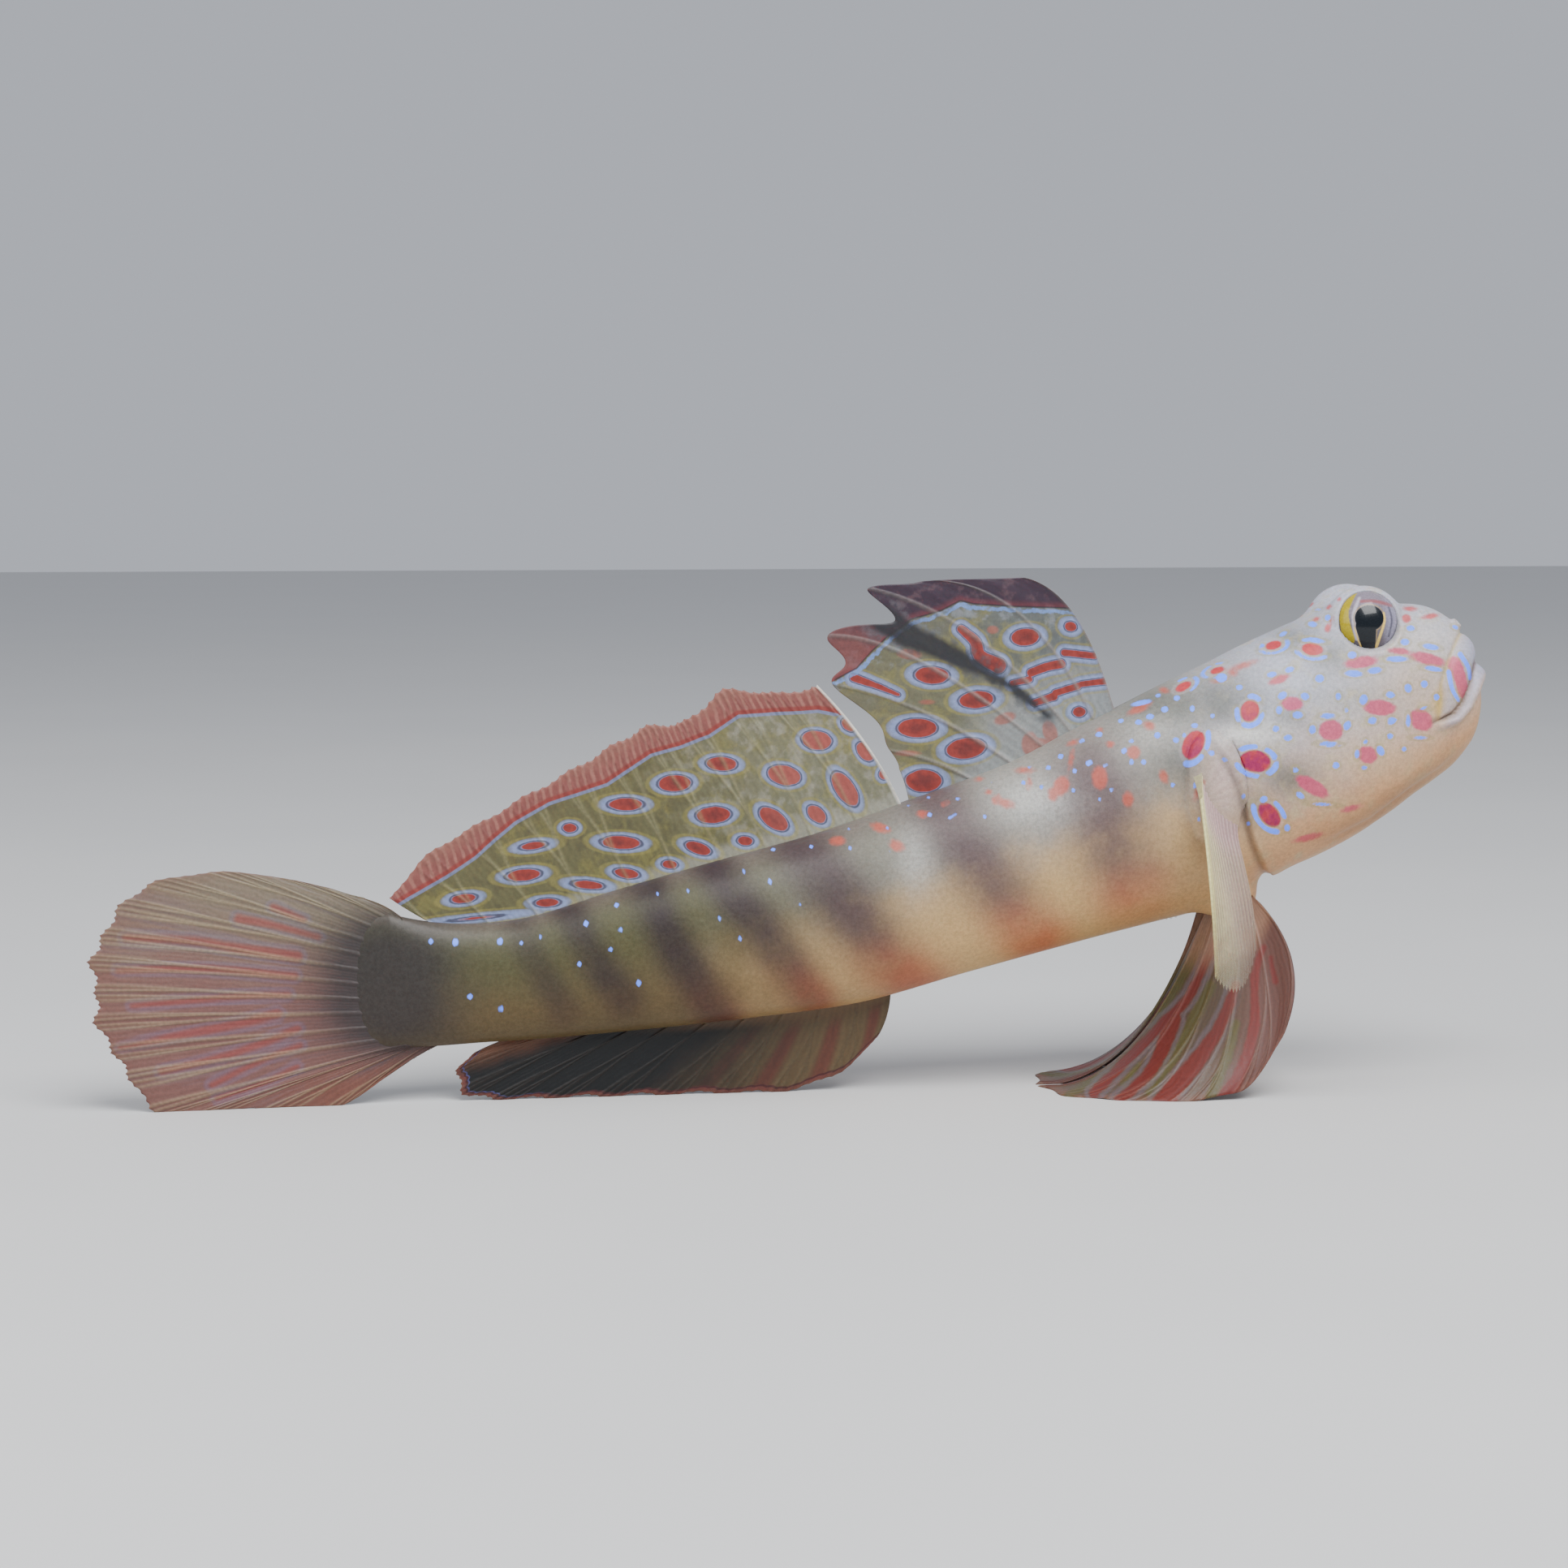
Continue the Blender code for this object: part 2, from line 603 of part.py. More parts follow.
def make_anal(material, parts):
    """One spine and nine soft rays, whose margin rests on the floor."""
    roots = along_belly(np.linspace(*ANAL_BASE, len(ANAL_TIPS)))
    tips = on_midline(ANAL_TIPS)
    bends = middles_with(roots, tips, (0.6, -0.5), (-0.6, 0.4))
    make_fin("fin_anal", roots, bends, tips, material, parts, rows=6, notch=0.03)


CAUDAL_FEET = (
    (-34.4, 15.2), (-34.4, 12.6), (-34.4, 10.0), (-34.4, 7.4), (-34.3, 4.7), (-32.6, 4.15), (-29.8, 4.2),
)
CAUDAL_TIPS = (
    (-36.8, 17.0), (-41.4, 18.4), (-47.2, 19.3), (-52.6, 18.7), (-55.6, 16.8), (-57.0, 14.4),
    (-58.05, 12.3), (-57.6, 9.8), (-57.7, 7.4), (-56.3, 4.9), (-55.0, 2.7), (-52.9, -0.1),
    (-48.3, -0.1), (-43.0, -0.1), (-38.2, -0.1), (-34.4, 2.0), (-30.6, 3.7),
)


def make_caudal(material, parts):
    """A broad rounded fan, whose lower rays lie along the floor and start under the tail stalk."""
    roots = on_midline(along(CAUDAL_FEET, len(CAUDAL_TIPS)))
    tips = on_midline(CAUDAL_TIPS)
    bends = middles_with(roots, tips, (0.3, 0.5), (-0.2, 0.2))
    make_fin("fin_caudal", roots, bends, tips, material, parts, rows=8, notch=0.02)


# The pectoral fin's foot as (x, z), and the tips of its rays as (x, distance from the mid-line, z).
PECTORAL_FOOT = ((32.0, 27.6), (32.6, 25.8), (33.4, 24.0), (34.4, 22.5))
PECTORAL_TIPS = (
    (33.0, 13.2, 10.2), (33.9, 12.5, 9.5), (34.8, 11.4, 9.8), (35.6, 10.0, 11.0), (36.0, 8.9, 12.7),
)
PECTORAL_RAYS = 12
PECTORAL_SPREAD = (5.2, 3.0)
LEFT_PECTORAL_LIFT = 3.0


def make_pectoral(name, side, lift, tree, material, parts):
    """A fan of soft rays that leaves the shoulder outwards and droops; lift raises its tips."""
    foot = along(PECTORAL_FOOT, PECTORAL_RAYS)
    setback = side * PECTORAL_SETBACK
    roots = np.array([(x, flank_side(tree, x, z, side) + setback, z) for x, z in foot])
    tips = along(PECTORAL_TIPS, PECTORAL_RAYS)
    tips[:, 1] *= side
    tips[:, 2] += lift
    bends = roots * (0.35, 1, 0.45) + tips * (0.65, 0, 0.55)
    bends[:, 1] += side * np.linspace(*PECTORAL_SPREAD, PECTORAL_RAYS)
    make_fin(name, roots, bends, tips, material, parts, notch=0.03)


# The pelvic rays of one side, the spine first and the ray beside the mid-line last: (x, distance
# from the mid-line) of each foot, then (x, distance, z) of each bend and tip. The rays sweep down
# and back and flare on the floor, so that the two fins make a cup that is open to the front.
PELVIC_FEET = ((37.6, 2.3), (37.1, 2.3), (36.4, 2.1), (35.6, 1.8), (34.8, 1.4), (34.0, 0.9))
PELVIC_BENDS = (
    (41.1, 8.7, 11.3), (38.9, 8.2, 6.0), (35.2, 7.6, 3.0),
    (32.2, 6.2, 1.2), (29.8, 3.6, 0.1), (28.6, 0.5, -0.6),
)
PELVIC_TIPS = (
    (38.4, 8.8, 5.2), (35.2, 9.1, 0.9), (29.9, 9.3, -0.1),
    (24.9, 8.1, 0.0), (20.8, 5.4, 0.0), (19.7, 0.4, 0.0),
)


def make_pelvic(name, side, tree, material, parts):
    """Half of the pelvic disc, the fused fins that prop the front of the body."""
    turn = np.array((1, side, 1))
    feet = [(x, y * side) for x, y in PELVIC_FEET]
    roots = np.array([(x, y, underside(tree, x, y) - PELVIC_SETBACK) for x, y in feet])
    bends, tips = np.array(PELVIC_BENDS) * turn, np.array(PELVIC_TIPS) * turn
    make_fin(name, roots, bends, tips, material, parts, FINE_COLUMNS, rows=10, notch=0.02)


def clear_scene():
    for old in list(bpy.data.objects):
        bpy.data.objects.remove(old)


def main():
    clear_scene()
    parts = bpy.data.collections.new("watchman_goby")
    bpy.context.scene.collection.children.link(parts)
    skin = make_material("skin", (0.60, 0.55, 0.47), 0.45)
    olive = make_material("dorsal_membrane", (0.48, 0.46, 0.22), 0.5)
    dusky = make_material("anal_membrane", (0.20, 0.19, 0.14), 0.5)
    rosy = make_material("tail_membrane", (0.56, 0.40, 0.33), 0.5)
    pale = make_material("pectoral_membrane", (0.70, 0.64, 0.54), 0.5)
    striped = make_material("pelvic_membrane", (0.52, 0.33, 0.27), 0.5)

    make_head(skin, parts)
    tree = make_trunk(skin, parts)
    make_eyes(parts)
    make_first_dorsal(olive, parts)
    make_second_dorsal(olive, parts)
    make_anal(dusky, parts)
    make_caudal(rosy, parts)
    make_pectoral("fin_pectoral_right", -1, 0.0, tree, pale, parts)
    make_pectoral("fin_pectoral_left", 1, LEFT_PECTORAL_LIFT, tree, pale, parts)
    make_pelvic("fin_pelvic_right", -1, tree, striped, parts)
    make_pelvic("fin_pelvic_left", 1, tree, striped, parts)


main()
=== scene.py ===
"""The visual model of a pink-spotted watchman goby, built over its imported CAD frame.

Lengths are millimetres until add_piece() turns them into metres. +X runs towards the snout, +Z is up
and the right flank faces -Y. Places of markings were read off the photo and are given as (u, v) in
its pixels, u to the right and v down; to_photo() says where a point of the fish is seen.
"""

import json
import math

import bpy
import numpy as np
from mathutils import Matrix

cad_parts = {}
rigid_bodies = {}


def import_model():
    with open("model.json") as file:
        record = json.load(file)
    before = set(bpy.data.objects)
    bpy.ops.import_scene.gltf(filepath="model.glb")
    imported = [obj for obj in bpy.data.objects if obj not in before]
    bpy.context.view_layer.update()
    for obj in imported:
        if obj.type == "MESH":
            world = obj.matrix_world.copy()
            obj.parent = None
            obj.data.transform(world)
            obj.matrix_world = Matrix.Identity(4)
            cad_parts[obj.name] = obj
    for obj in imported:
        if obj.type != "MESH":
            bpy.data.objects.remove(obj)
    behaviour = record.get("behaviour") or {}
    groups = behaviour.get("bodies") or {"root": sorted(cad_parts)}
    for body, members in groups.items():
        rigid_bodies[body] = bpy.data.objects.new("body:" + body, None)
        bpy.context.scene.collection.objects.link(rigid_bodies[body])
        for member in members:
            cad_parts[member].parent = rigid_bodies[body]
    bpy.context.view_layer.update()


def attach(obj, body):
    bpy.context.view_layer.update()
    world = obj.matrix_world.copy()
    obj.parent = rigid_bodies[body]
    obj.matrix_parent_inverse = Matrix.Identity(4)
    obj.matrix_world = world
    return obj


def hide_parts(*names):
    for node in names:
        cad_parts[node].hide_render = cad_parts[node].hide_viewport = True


for left_over in list(bpy.data.objects):
    bpy.data.objects.remove(left_over)
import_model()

MM = 0.001

# The photo: a square of PHOTO_SIDE pixels, seen from CAMERA_DISTANCE with a lens of FOCAL pixels.
PHOTO_SIDE = 1932
FOCAL = 4500.0
CAMERA_TARGET = np.array((-1.617, 0.0, 25.55))
CAMERA_DISTANCE = 300.0
CAMERA_AZIMUTH = math.radians(-8)
CAMERA_ELEVATION = math.radians(5)
PIXELS_PER_MM = FOCAL / CAMERA_DISTANCE

# One row for each cross-section, snout to tail: the top (x, z), the bottom (x, z), the half width,
# the height of the widest point as a share of the depth, and how square the top and bottom are.
SECTIONS = np.array((
    (56.6, 34.9, 56.9, 33.3, 1.0, 0.50, 2.0, 2.0),
    (56.2, 36.3, 57.1, 31.7, 2.4, 0.48, 2.1, 2.1),
    (55.5, 37.7, 56.9, 29.9, 3.5, 0.46, 2.2, 2.2),
    (54.5, 38.9, 56.2, 28.2, 4.3, 0.45, 2.3, 2.3),
    (52.8, 39.8, 54.8, 26.5, 5.0, 0.44, 2.4, 2.3),
    (51.0, 40.1, 53.1, 25.2, 5.5, 0.44, 2.5, 2.3),
    (48.8, 40.1, 51.3, 24.0, 5.9, 0.43, 2.6, 2.3),
    (46.3, 39.9, 49.4, 22.6, 6.2, 0.43, 2.6, 2.3),
    (43.5, 39.4, 47.0, 21.0, 6.5, 0.43, 2.6, 2.2),
    (40.4, 38.15, 44.8, 19.8, 6.7, 0.44, 2.5, 2.2),
    (37.2, 36.75, 42.4, 18.7, 6.8, 0.45, 2.4, 2.2),
    (34.1, 35.25, 40.3, 18.0, 6.8, 0.46, 2.3, 2.2),
    (31.5, 34.1, 38.6, 17.4, 6.7, 0.47, 2.2, 2.2),
    (29.0, 32.9, 36.6, 16.3, 6.5, 0.48, 2.2, 2.2),
    (26.3, 31.6, 33.6, 14.7, 6.3, 0.50, 2.1, 2.2),
    (22.4, 29.8, 29.1, 13.6, 6.1, 0.51, 2.1, 2.2),
    (16.8, 27.0, 23.3, 12.2, 5.7, 0.52, 2.0, 2.2),
    (8.5, 24.0, 13.6, 9.7, 5.1, 0.53, 2.0, 2.1),
    (0.7, 21.4, 4.8, 7.4, 4.6, 0.53, 2.0, 2.1),
    (-7.4, 19.3, -4.1, 6.3, 4.1, 0.53, 2.0, 2.1),
    (-15.5, 17.1, -13.5, 5.5, 3.4, 0.52, 2.0, 2.0),
    (-22.3, 15.1, -21.2, 5.0, 2.8, 0.51, 2.0, 2.0),
    (-26.8, 14.6, -26.4, 4.8, 2.3, 0.50, 2.0, 2.0),
    (-30.7, 14.8, -30.6, 4.6, 1.8, 0.50, 2.0, 2.0),
    (-34.0, 15.5, -34.0, 4.6, 1.1, 0.50, 2.2, 2.2),
))
TOP, BOTTOM, HALF_WIDTH, LEVEL, SQUARE_TOP, SQUARE_LOW = slice(0, 2), slice(2, 4), 4, 5, 6, 7

# The tail turns to the right: from where, over what length, and how far aside it is after that length.
TAIL_TURN_START = 5.0
TAIL_TURN_LENGTH = 62.0
TAIL_TURN_SIDE = 3.0

# The left eye: its centre, how far its outward axis tilts up, its radius, how far it reaches out and
# back, and its orbit's radii, how far inward that is centred and how sharply it stands out.
EYE_X, EYE_Y, EYE_Z = 46.6, 3.0, 38.6
EYE_TILT = math.radians(10)
EYE_RADIUS = 2.66
EYE_BULGE = 2.2
EYE_BACK = 0.9
ORBIT_RADII = (3.3, 1.95, 3.1)
ORBIT_INWARD = 0.8
ORBIT_SHARPNESS = 9

# The fleshy bases of the paired fins: the left one's centre, its radii and how sharply it stands out.
PECTORAL_BASE = (33.0, 5.6, 25.2), (2.3, 1.7, 4.2), 5
PELVIC_BASE_CENTRE = (35.4, 1.2, 16.4)
PELVIC_BASE = PELVIC_BASE_CENTRE, (2.6, 1.8, 1.9), 7


def signed_power(value, power):
    return np.sign(value) * np.abs(value) ** power


def smooth_rows(rows, at):
    """Catmull-Rom curve through the rows, read at the fractional row numbers in at."""
    rows = np.asarray(rows, float)
    at = np.atleast_1d(np.asarray(at, float))
    last = len(rows) - 1
    first = np.clip(np.floor(at).astype(int), 0, last - 1)
    t = (at - first)[:, None]
    before, start = rows[np.maximum(first - 1, 0)], rows[first]
    end, after = rows[first + 1], rows[np.minimum(first + 2, last)]
    return 0.5 * (
        2 * start
        + (end - before) * t
        + (2 * before - 5 * start + 4 * end - after) * t**2
        + (3 * start - before - 3 * end + after) * t**3
    )


def tail_turn(x):
    """How far the body's mid-line lies towards -Y at x."""
    share = np.clip((TAIL_TURN_START - np.asarray(x, float)) / TAIL_TURN_LENGTH, 0, None)
    return -TAIL_TURN_SIDE * share**2


def on_midline(points_xz):
    """(x, z) points as (x, y, z), on the body's mid-line."""
    points_xz = np.asarray(points_xz, float)
    return np.stack([points_xz[:, 0], tail_turn(points_xz[:, 0]), points_xz[:, 1]], axis=1)


def step(value, low, high):
    """0 up to low, 1 from high on, and a smooth rise between."""
    share = np.clip((np.asarray(value, float) - low) / (high - low), 0, 1)
    return share * share * (3 - 2 * share)


def hump(value, centre, width):
    return np.exp(-(((value - centre) / width) ** 2))


def camera_axes():
    """The camera's right, up and backward directions."""
    back = np.array((
        math.sin(CAMERA_AZIMUTH) * math.cos(CAMERA_ELEVATION),
        -math.cos(CAMERA_AZIMUTH) * math.cos(CAMERA_ELEVATION),
        math.sin(CAMERA_ELEVATION),
    ))
    right = np.cross((0, 0, 1), back)
    right /= np.linalg.norm(right)
    return right, np.cross(back, right), back


def to_photo(points):
    """Where points are seen in the photo: u, v and the distance along the line of sight."""
    right, up, back = camera_axes()
    seen = points - (CAMERA_TARGET + back * CAMERA_DISTANCE)
    depth = -(seen @ back)
    middle = PHOTO_SIDE / 2
    return middle + FOCAL * (seen @ right) / depth, middle - FOCAL * (seen @ up) / depth, depth


def folded(points):
    """Points with those of the left flank mirrored onto the right one, so both carry one pattern."""
    middle = tail_turn(points[..., 0])
    right = middle - np.abs(points[..., 1] - middle)
    return np.stack([points[..., 0], right, points[..., 2]], axis=-1)


# Geometry of the pieces.

def quads(columns, rows, wrap):
    """Corner numbers of the quads of a grid numbered column by column, closed round if wrap."""
    across = np.arange(rows if wrap else rows - 1)[None, :]
    along = np.arange(columns - 1)[:, None]
    low = along * rows
    beside = (across + 1) % rows
    corners = [low + across, low + beside, low + rows + beside, low + rows + across]
    return np.stack(np.broadcast_arrays(*corners), axis=-1).reshape(-1, 4)


def place_in_scene(name, data):
    placed = bpy.data.objects.new(name, data)
    bpy.context.scene.collection.objects.link(placed)
    return placed


def add_piece(name, points, faces, fields, material, nodes):
    """A smooth mesh in metres from points in millimetres, carrying fields as point attributes."""
    mesh = bpy.data.meshes.new(name)
    loops = np.concatenate([np.asarray(part).reshape(-1) for part in faces])
    sizes = np.concatenate([np.full(len(part), part.shape[1]) for part in faces])
    mesh.vertices.add(len(points))
    mesh.loops.add(len(loops))
    mesh.polygons.add(len(sizes))
    mesh.vertices.foreach_set("co", (points * MM).astype(np.float32).reshape(-1))
    mesh.loops.foreach_set("vertex_index", loops.astype(np.int32))
    mesh.polygons.foreach_set("loop_start", np.concatenate([[0], np.cumsum(sizes)[:-1]]).astype(np.int32))
    mesh.update(calc_edges=True)
    for field, values in fields.items():
        attribute = mesh.attributes.new(field, "FLOAT", "POINT")
        attribute.data.foreach_set("value", np.asarray(values, np.float32).reshape(-1))
    mesh.shade_smooth()
    mesh.materials.append(material)
    piece = place_in_scene(name, mesh)
    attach(piece, "root")
    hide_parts(*nodes)


def push_out(points, middles, centre, axes, radii, sharpness):
    """Points moved out along the line from their section's middle, to the far side of an ellipsoid
    where that is further, with a smooth maximum between the two."""
    out = points - middles
    reach = np.linalg.norm(out, axis=-1)
    unit = out / np.maximum(reach, 1e-6)[..., None]
    start = (middles - centre) @ axes.T / radii
    stride = unit @ axes.T / radii
    a = (stride**2).sum(-1)
    b = (start * stride).sum(-1)
    c = (start**2).sum(-1) - 1
    inside = b**2 - a * c
    far = np.where(inside > 0, (-b + np.sqrt(np.maximum(inside, 0))) / a, 0)
    grown = (reach**sharpness + np.maximum(far, 0) ** sharpness) ** (1 / sharpness)
    return middles + unit * grown[..., None]


def eye_axes(side):
    """Rows are the eye's forward, outward and upward directions, for side -1 (right) or 1 (left)."""
    out = (0, side * math.cos(EYE_TILT), math.sin(EYE_TILT))
    up = (0, -side * math.sin(EYE_TILT), math.cos(EYE_TILT))
    return np.array(((1.0, 0, 0), out, up))


def eye_centre(side):
    return np.array((EYE_X, side * EYE_Y, EYE_Z))


# Rings of the skin: how many lie before each of these sections. They are closest on the head.
RING_NUMBERS = (0, 92, 154, 190, 360)
RING_SECTIONS = (0.0, 5.0, 9.0, 12.0, 24.0)
SKIN_AROUND = 256
NOSE_RINGS, NOSE_BULGE = 7, 0.25

# The skin's end over the tail fin: its length, the share of it at the top and bottom of the last section,
# and the shares of the width and height that it loses.
STALK_RINGS, STALK_LENGTH, STALK_SLANT = 14, 3.4, 0.3
STALK_SIDE_LOSS, STALK_HEIGHT_LOSS = 0.9, 0.06


def body_grid():
    """The skin before relief, as rings of points, with each ring's middle and each point's height on
    its ring. Ring t runs round SECTIONS read at t: widest level + cos(a)^(2/square) * height above or
    below it, and sin(a)^(2/square) * half width to the side. Rings that shrink to a point close the
    snout, and rings that thin out sideways run into the tail fin."""
    at = np.interp(np.arange(RING_NUMBERS[-1] + 1), RING_NUMBERS, RING_SECTIONS)
    rows = smooth_rows(SECTIONS, at)[:, None, :]
    angle = np.linspace(0, 2 * np.pi, SKIN_AROUND, endpoint=False)[None, :]
    widest = rows[..., BOTTOM] + (rows[..., TOP] - rows[..., BOTTOM]) * rows[..., LEVEL, None]
    upper = np.cos(angle) > 0
    square = np.where(upper, rows[..., SQUARE_TOP], rows[..., SQUARE_LOW])
    towards = np.where(upper[..., None], rows[..., TOP] - widest, widest - rows[..., BOTTOM])
    xz = widest + signed_power(np.cos(angle), 2 / square)[..., None] * towards
    side = signed_power(np.sin(angle), 2 / square) * rows[..., HALF_WIDTH]
    points = np.stack([xz[..., 0], side + tail_turn(widest[..., 0]), xz[..., 1]], axis=-1)
    middles = np.stack([widest[..., 0], tail_turn(widest[..., 0]), widest[..., 1]], axis=-1)
    middles = np.broadcast_to(middles, points.shape)

    closing = np.linspace(0, 1, NOSE_RINGS + 1)[:-1, None, None]
    nose = middles[:1] + (points[:1] - middles[:1]) * np.sin(closing * np.pi / 2)
    nose = nose + np.array((NOSE_BULGE, 0, 0)) * np.cos(closing * np.pi / 2)
    thinning = np.linspace(0, 1, STALK_RINGS + 1)[1:, None, None]
    loss = [0 * thinning, STALK_SIDE_LOSS * thinning, STALK_HEIGHT_LOSS * thinning**2]
    slant = STALK_SLANT + (1 - STALK_SLANT) * np.abs(np.sin(angle))
    keep, back = 1 - np.concatenate(loss, axis=-1), STALK_LENGTH * slant[..., None] * np.array((1.0, 0, 0))
    stalk = middles[-1:] + (points[-1:] - middles[-1:]) * keep - thinning * back
    end = np.broadcast_to(stalk[-1:].mean(axis=1, keepdims=True), stalk[-1:].shape)
    tail = np.concatenate([stalk, stalk[-1:] * 0.5 + end * 0.5, end])
    points = np.concatenate([nose, points, tail])
    middles = np.concatenate([
        np.broadcast_to(middles[:1], nose.shape), middles, np.broadcast_to(middles[-1:], tail.shape),
    ])
    return points, middles, np.broadcast_to(np.cos(angle), points.shape[:2])


def ring_normals(points):
    """Outward directions of a grid of rings that closes round."""
    around = np.roll(points, -1, axis=1) - np.roll(points, 1, axis=1)
    normal = np.cross(around, np.gradient(points, axis=0))
    length = np.linalg.norm(normal, axis=-1, keepdims=True)
    return normal / np.maximum(length, 1e-9)


def line_distance(points_2d, line):
    """Signed distance of 2-D points from a polyline, positive on its left, and how far along it, 0 to 1,
    the nearest place is."""
    line = np.asarray(line, float)
    starts, ends = line[:-1], line[1:]
    spans = ends - starts
    lengths = np.linalg.norm(spans, axis=1)
    reached = np.concatenate([[0], np.cumsum(lengths)])
    best = np.full(points_2d.shape[:-1], 1e9)
    signed = np.zeros_like(best)
    along = np.zeros_like(best)
    for start, span, length, before in zip(starts, spans, lengths, reached):
        offset = points_2d - start
        share = np.clip((offset @ span) / length**2, 0, 1)
        away = offset - share[..., None] * span
        distance = np.linalg.norm(away, axis=-1)
        left = span[0] * offset[..., 1] - span[1] * offset[..., 0]
        nearer = distance < best
        best = np.where(nearer, distance, best)
        signed = np.where(nearer, np.sign(left) * distance, signed)
        along = np.where(nearer, (before + share * length) / reached[-1], along)
    return signed, along


# Lines of the head in photo pixels.
MOUTH = (
    (1758, 893), (1774, 887), (1790, 879), (1801, 866), (1809, 848), (1813, 835), (1816, 819),
    (1822, 806),
)
UPPER_LIP_EDGE = (
    (1772, 892), (1776, 868), (1776, 843), (1780, 831), (1785, 814), (1795, 790), (1803, 774),
)
GILL_EDGE = (
    (1490, 898), (1500, 918), (1515, 940), (1528, 965), (1537, 1000), (1545, 1035), (1560, 1070),
    (1592, 1090),
)
JAW_FOLD = ((1808, 918), (1775, 948), (1740, 972), (1690, 1010), (1620, 1045))

# Heights, depths and widths of the head's relief. The lower lip has a pair, at its side and at its front.
# Pairs named START, FRONT, SHALLOWER or END are shares of a line between which the relief changes, from
# the mouth's corner or the gill cover's top on, and an END counts down. The gill cover falls off slowly
# in front of its edge and steeply behind it. A groove or ridge has its distance from the line and width.
LIP_START, LIP_FRONT = (0.04, 0.3), (0.75, 1.0)
LOWER_LIP_WIDTHS = (0.95, 1.7)
LOWER_LIP_HEIGHTS = (0.6, 0.36)
UPPER_LIP_HEIGHT = 0.36
MOUTH_DEPTH, MOUTH_START = 0.26, (0.0, 0.12)
MOUTH_LOSS, MOUTH_SHALLOWER = 0.8, (0.3, 0.55)
LIP_CREASE_DEPTH = 0.12
CREASE_WIDTH = 0.2
GILL_HEIGHT, GILL_DEPTH = 0.36, 0.16
GILL_SLOPE, GILL_STEP = 2.4, 0.16
GILL_START, GILL_END, GILL_GROOVE = (0.0, 0.18), (-1.0, -0.88), (-0.45, 0.35)
FOLD_HEIGHT, FOLD_RIDGE = 0.24, (-0.9, 0.8)
FOLD_DEPTH, FOLD_GROOVE = 0.26, (0, 0.25)

# Each nostril's place on the left side, the radius of its rim and how far the rim stands out.
NOSTRILS = (((54.2, 1.7, 37.9), 0.32, 0.34), ((51.6, 2.5, 39.3), 0.3, 0.14))
NOSTRIL_DEPTH, NOSTRIL_WIDTH = 0.3, 0.2


def photo_distance(u, v, line):
    """Signed distance in mm from a line of the photo, positive on its left, and how far along it."""
    upright = np.array((1, -1)) / PIXELS_PER_MM
    return line_distance(np.stack([u, v], axis=-1) * upright, np.array(line) * upright)


def lip_shares(u, v):
    """How far up the upper lip and down the lower lip each place is, 0 to 1 across it, and 0 off it;
    the distance from the mouth line; and how far along that line from its corner."""
    mouth, along = photo_distance(u, v, MOUTH)
    edge, _ = photo_distance(u, v, UPPER_LIP_EDGE)
    upper = np.where((mouth > 0) & (edge < 0), mouth / np.maximum(mouth - edge, 1e-6), 0)
    lower_width = np.interp(step(along, *LIP_FRONT), (0, 1), LOWER_LIP_WIDTHS)
    lower = np.where(mouth < 0, np.clip(-mouth / lower_width, 0, 1), 0)
    return upper, lower, mouth, along, edge


def head_relief(points):
    """How far the skin stands out at each point: lips either side of a mouth line, the crease behind
    the upper lip, the step at the gill cover's edge, the fold under the jaw, and the nostrils."""
    u, v, _ = to_photo(folded(points))
    upper, lower, mouth, along, edge = lip_shares(u, v)
    near_front = step(along, *LIP_START)
    lower_height = np.interp(step(along, *LIP_FRONT), (0, 1), LOWER_LIP_HEIGHTS)
    relief = near_front * (UPPER_LIP_HEIGHT * np.sin(np.pi * upper) + lower_height * np.sin(np.pi * lower))
    corner_share = step(along, *MOUTH_START) * (1 - MOUTH_LOSS * step(along, *MOUTH_SHALLOWER))
    relief -= corner_share * MOUTH_DEPTH * hump(mouth, 0, CREASE_WIDTH)
    relief -= near_front * LIP_CREASE_DEPTH * hump(edge, 0, CREASE_WIDTH) * (mouth > CREASE_WIDTH)

    gill, along = photo_distance(u, v, GILL_EDGE)
    ends = step(along, *GILL_START) * step(-along, *GILL_END)
    cover = np.where(gill > 0, np.exp(-gill / GILL_SLOPE), np.exp(gill / GILL_STEP)) * ends
    relief += GILL_HEIGHT * cover - GILL_DEPTH * hump(gill, *GILL_GROOVE) * ends

    fold, along = photo_distance(u, v, JAW_FOLD)
    ends = np.sin(np.pi * np.clip(along, 0.02, 0.98))
    relief += ends * (FOLD_HEIGHT * hump(fold, *FOLD_RIDGE) - FOLD_DEPTH * hump(fold, *FOLD_GROOVE))

    half_width = np.abs(points[..., 1] - tail_turn(points[..., 0]))
    upright = np.stack([points[..., 0], half_width, points[..., 2]], axis=-1)
    for place, rim, lift in NOSTRILS:
        nearest = np.argmin(np.linalg.norm(upright - place, axis=-1))
        away = np.linalg.norm(upright - upright.reshape(-1, 3)[nearest], axis=-1)
        relief += lift * hump(away, rim, NOSTRIL_WIDTH) - NOSTRIL_DEPTH * hump(away, 0, NOSTRIL_WIDTH)
    return relief


# Softening: the share of the way that a point moves at each pass, then for each place the number of passes
# and the distances in millimetres between which it fades in or, with a minus, out. The nose's also ends
# at a ring.
SOFTENING = 0.8
ORBIT_PASSES, ORBIT_INNER, ORBIT_OUTER = 60, (3.1, 3.7), (-6.0, -4.6)
THROAT_PASSES, THROAT_OUTER = 14, (-4.6, -3.4)
NOSE_PASSES, NOSE_OUTER, NOSE_END = 26, (-1.5, -0.8), 70


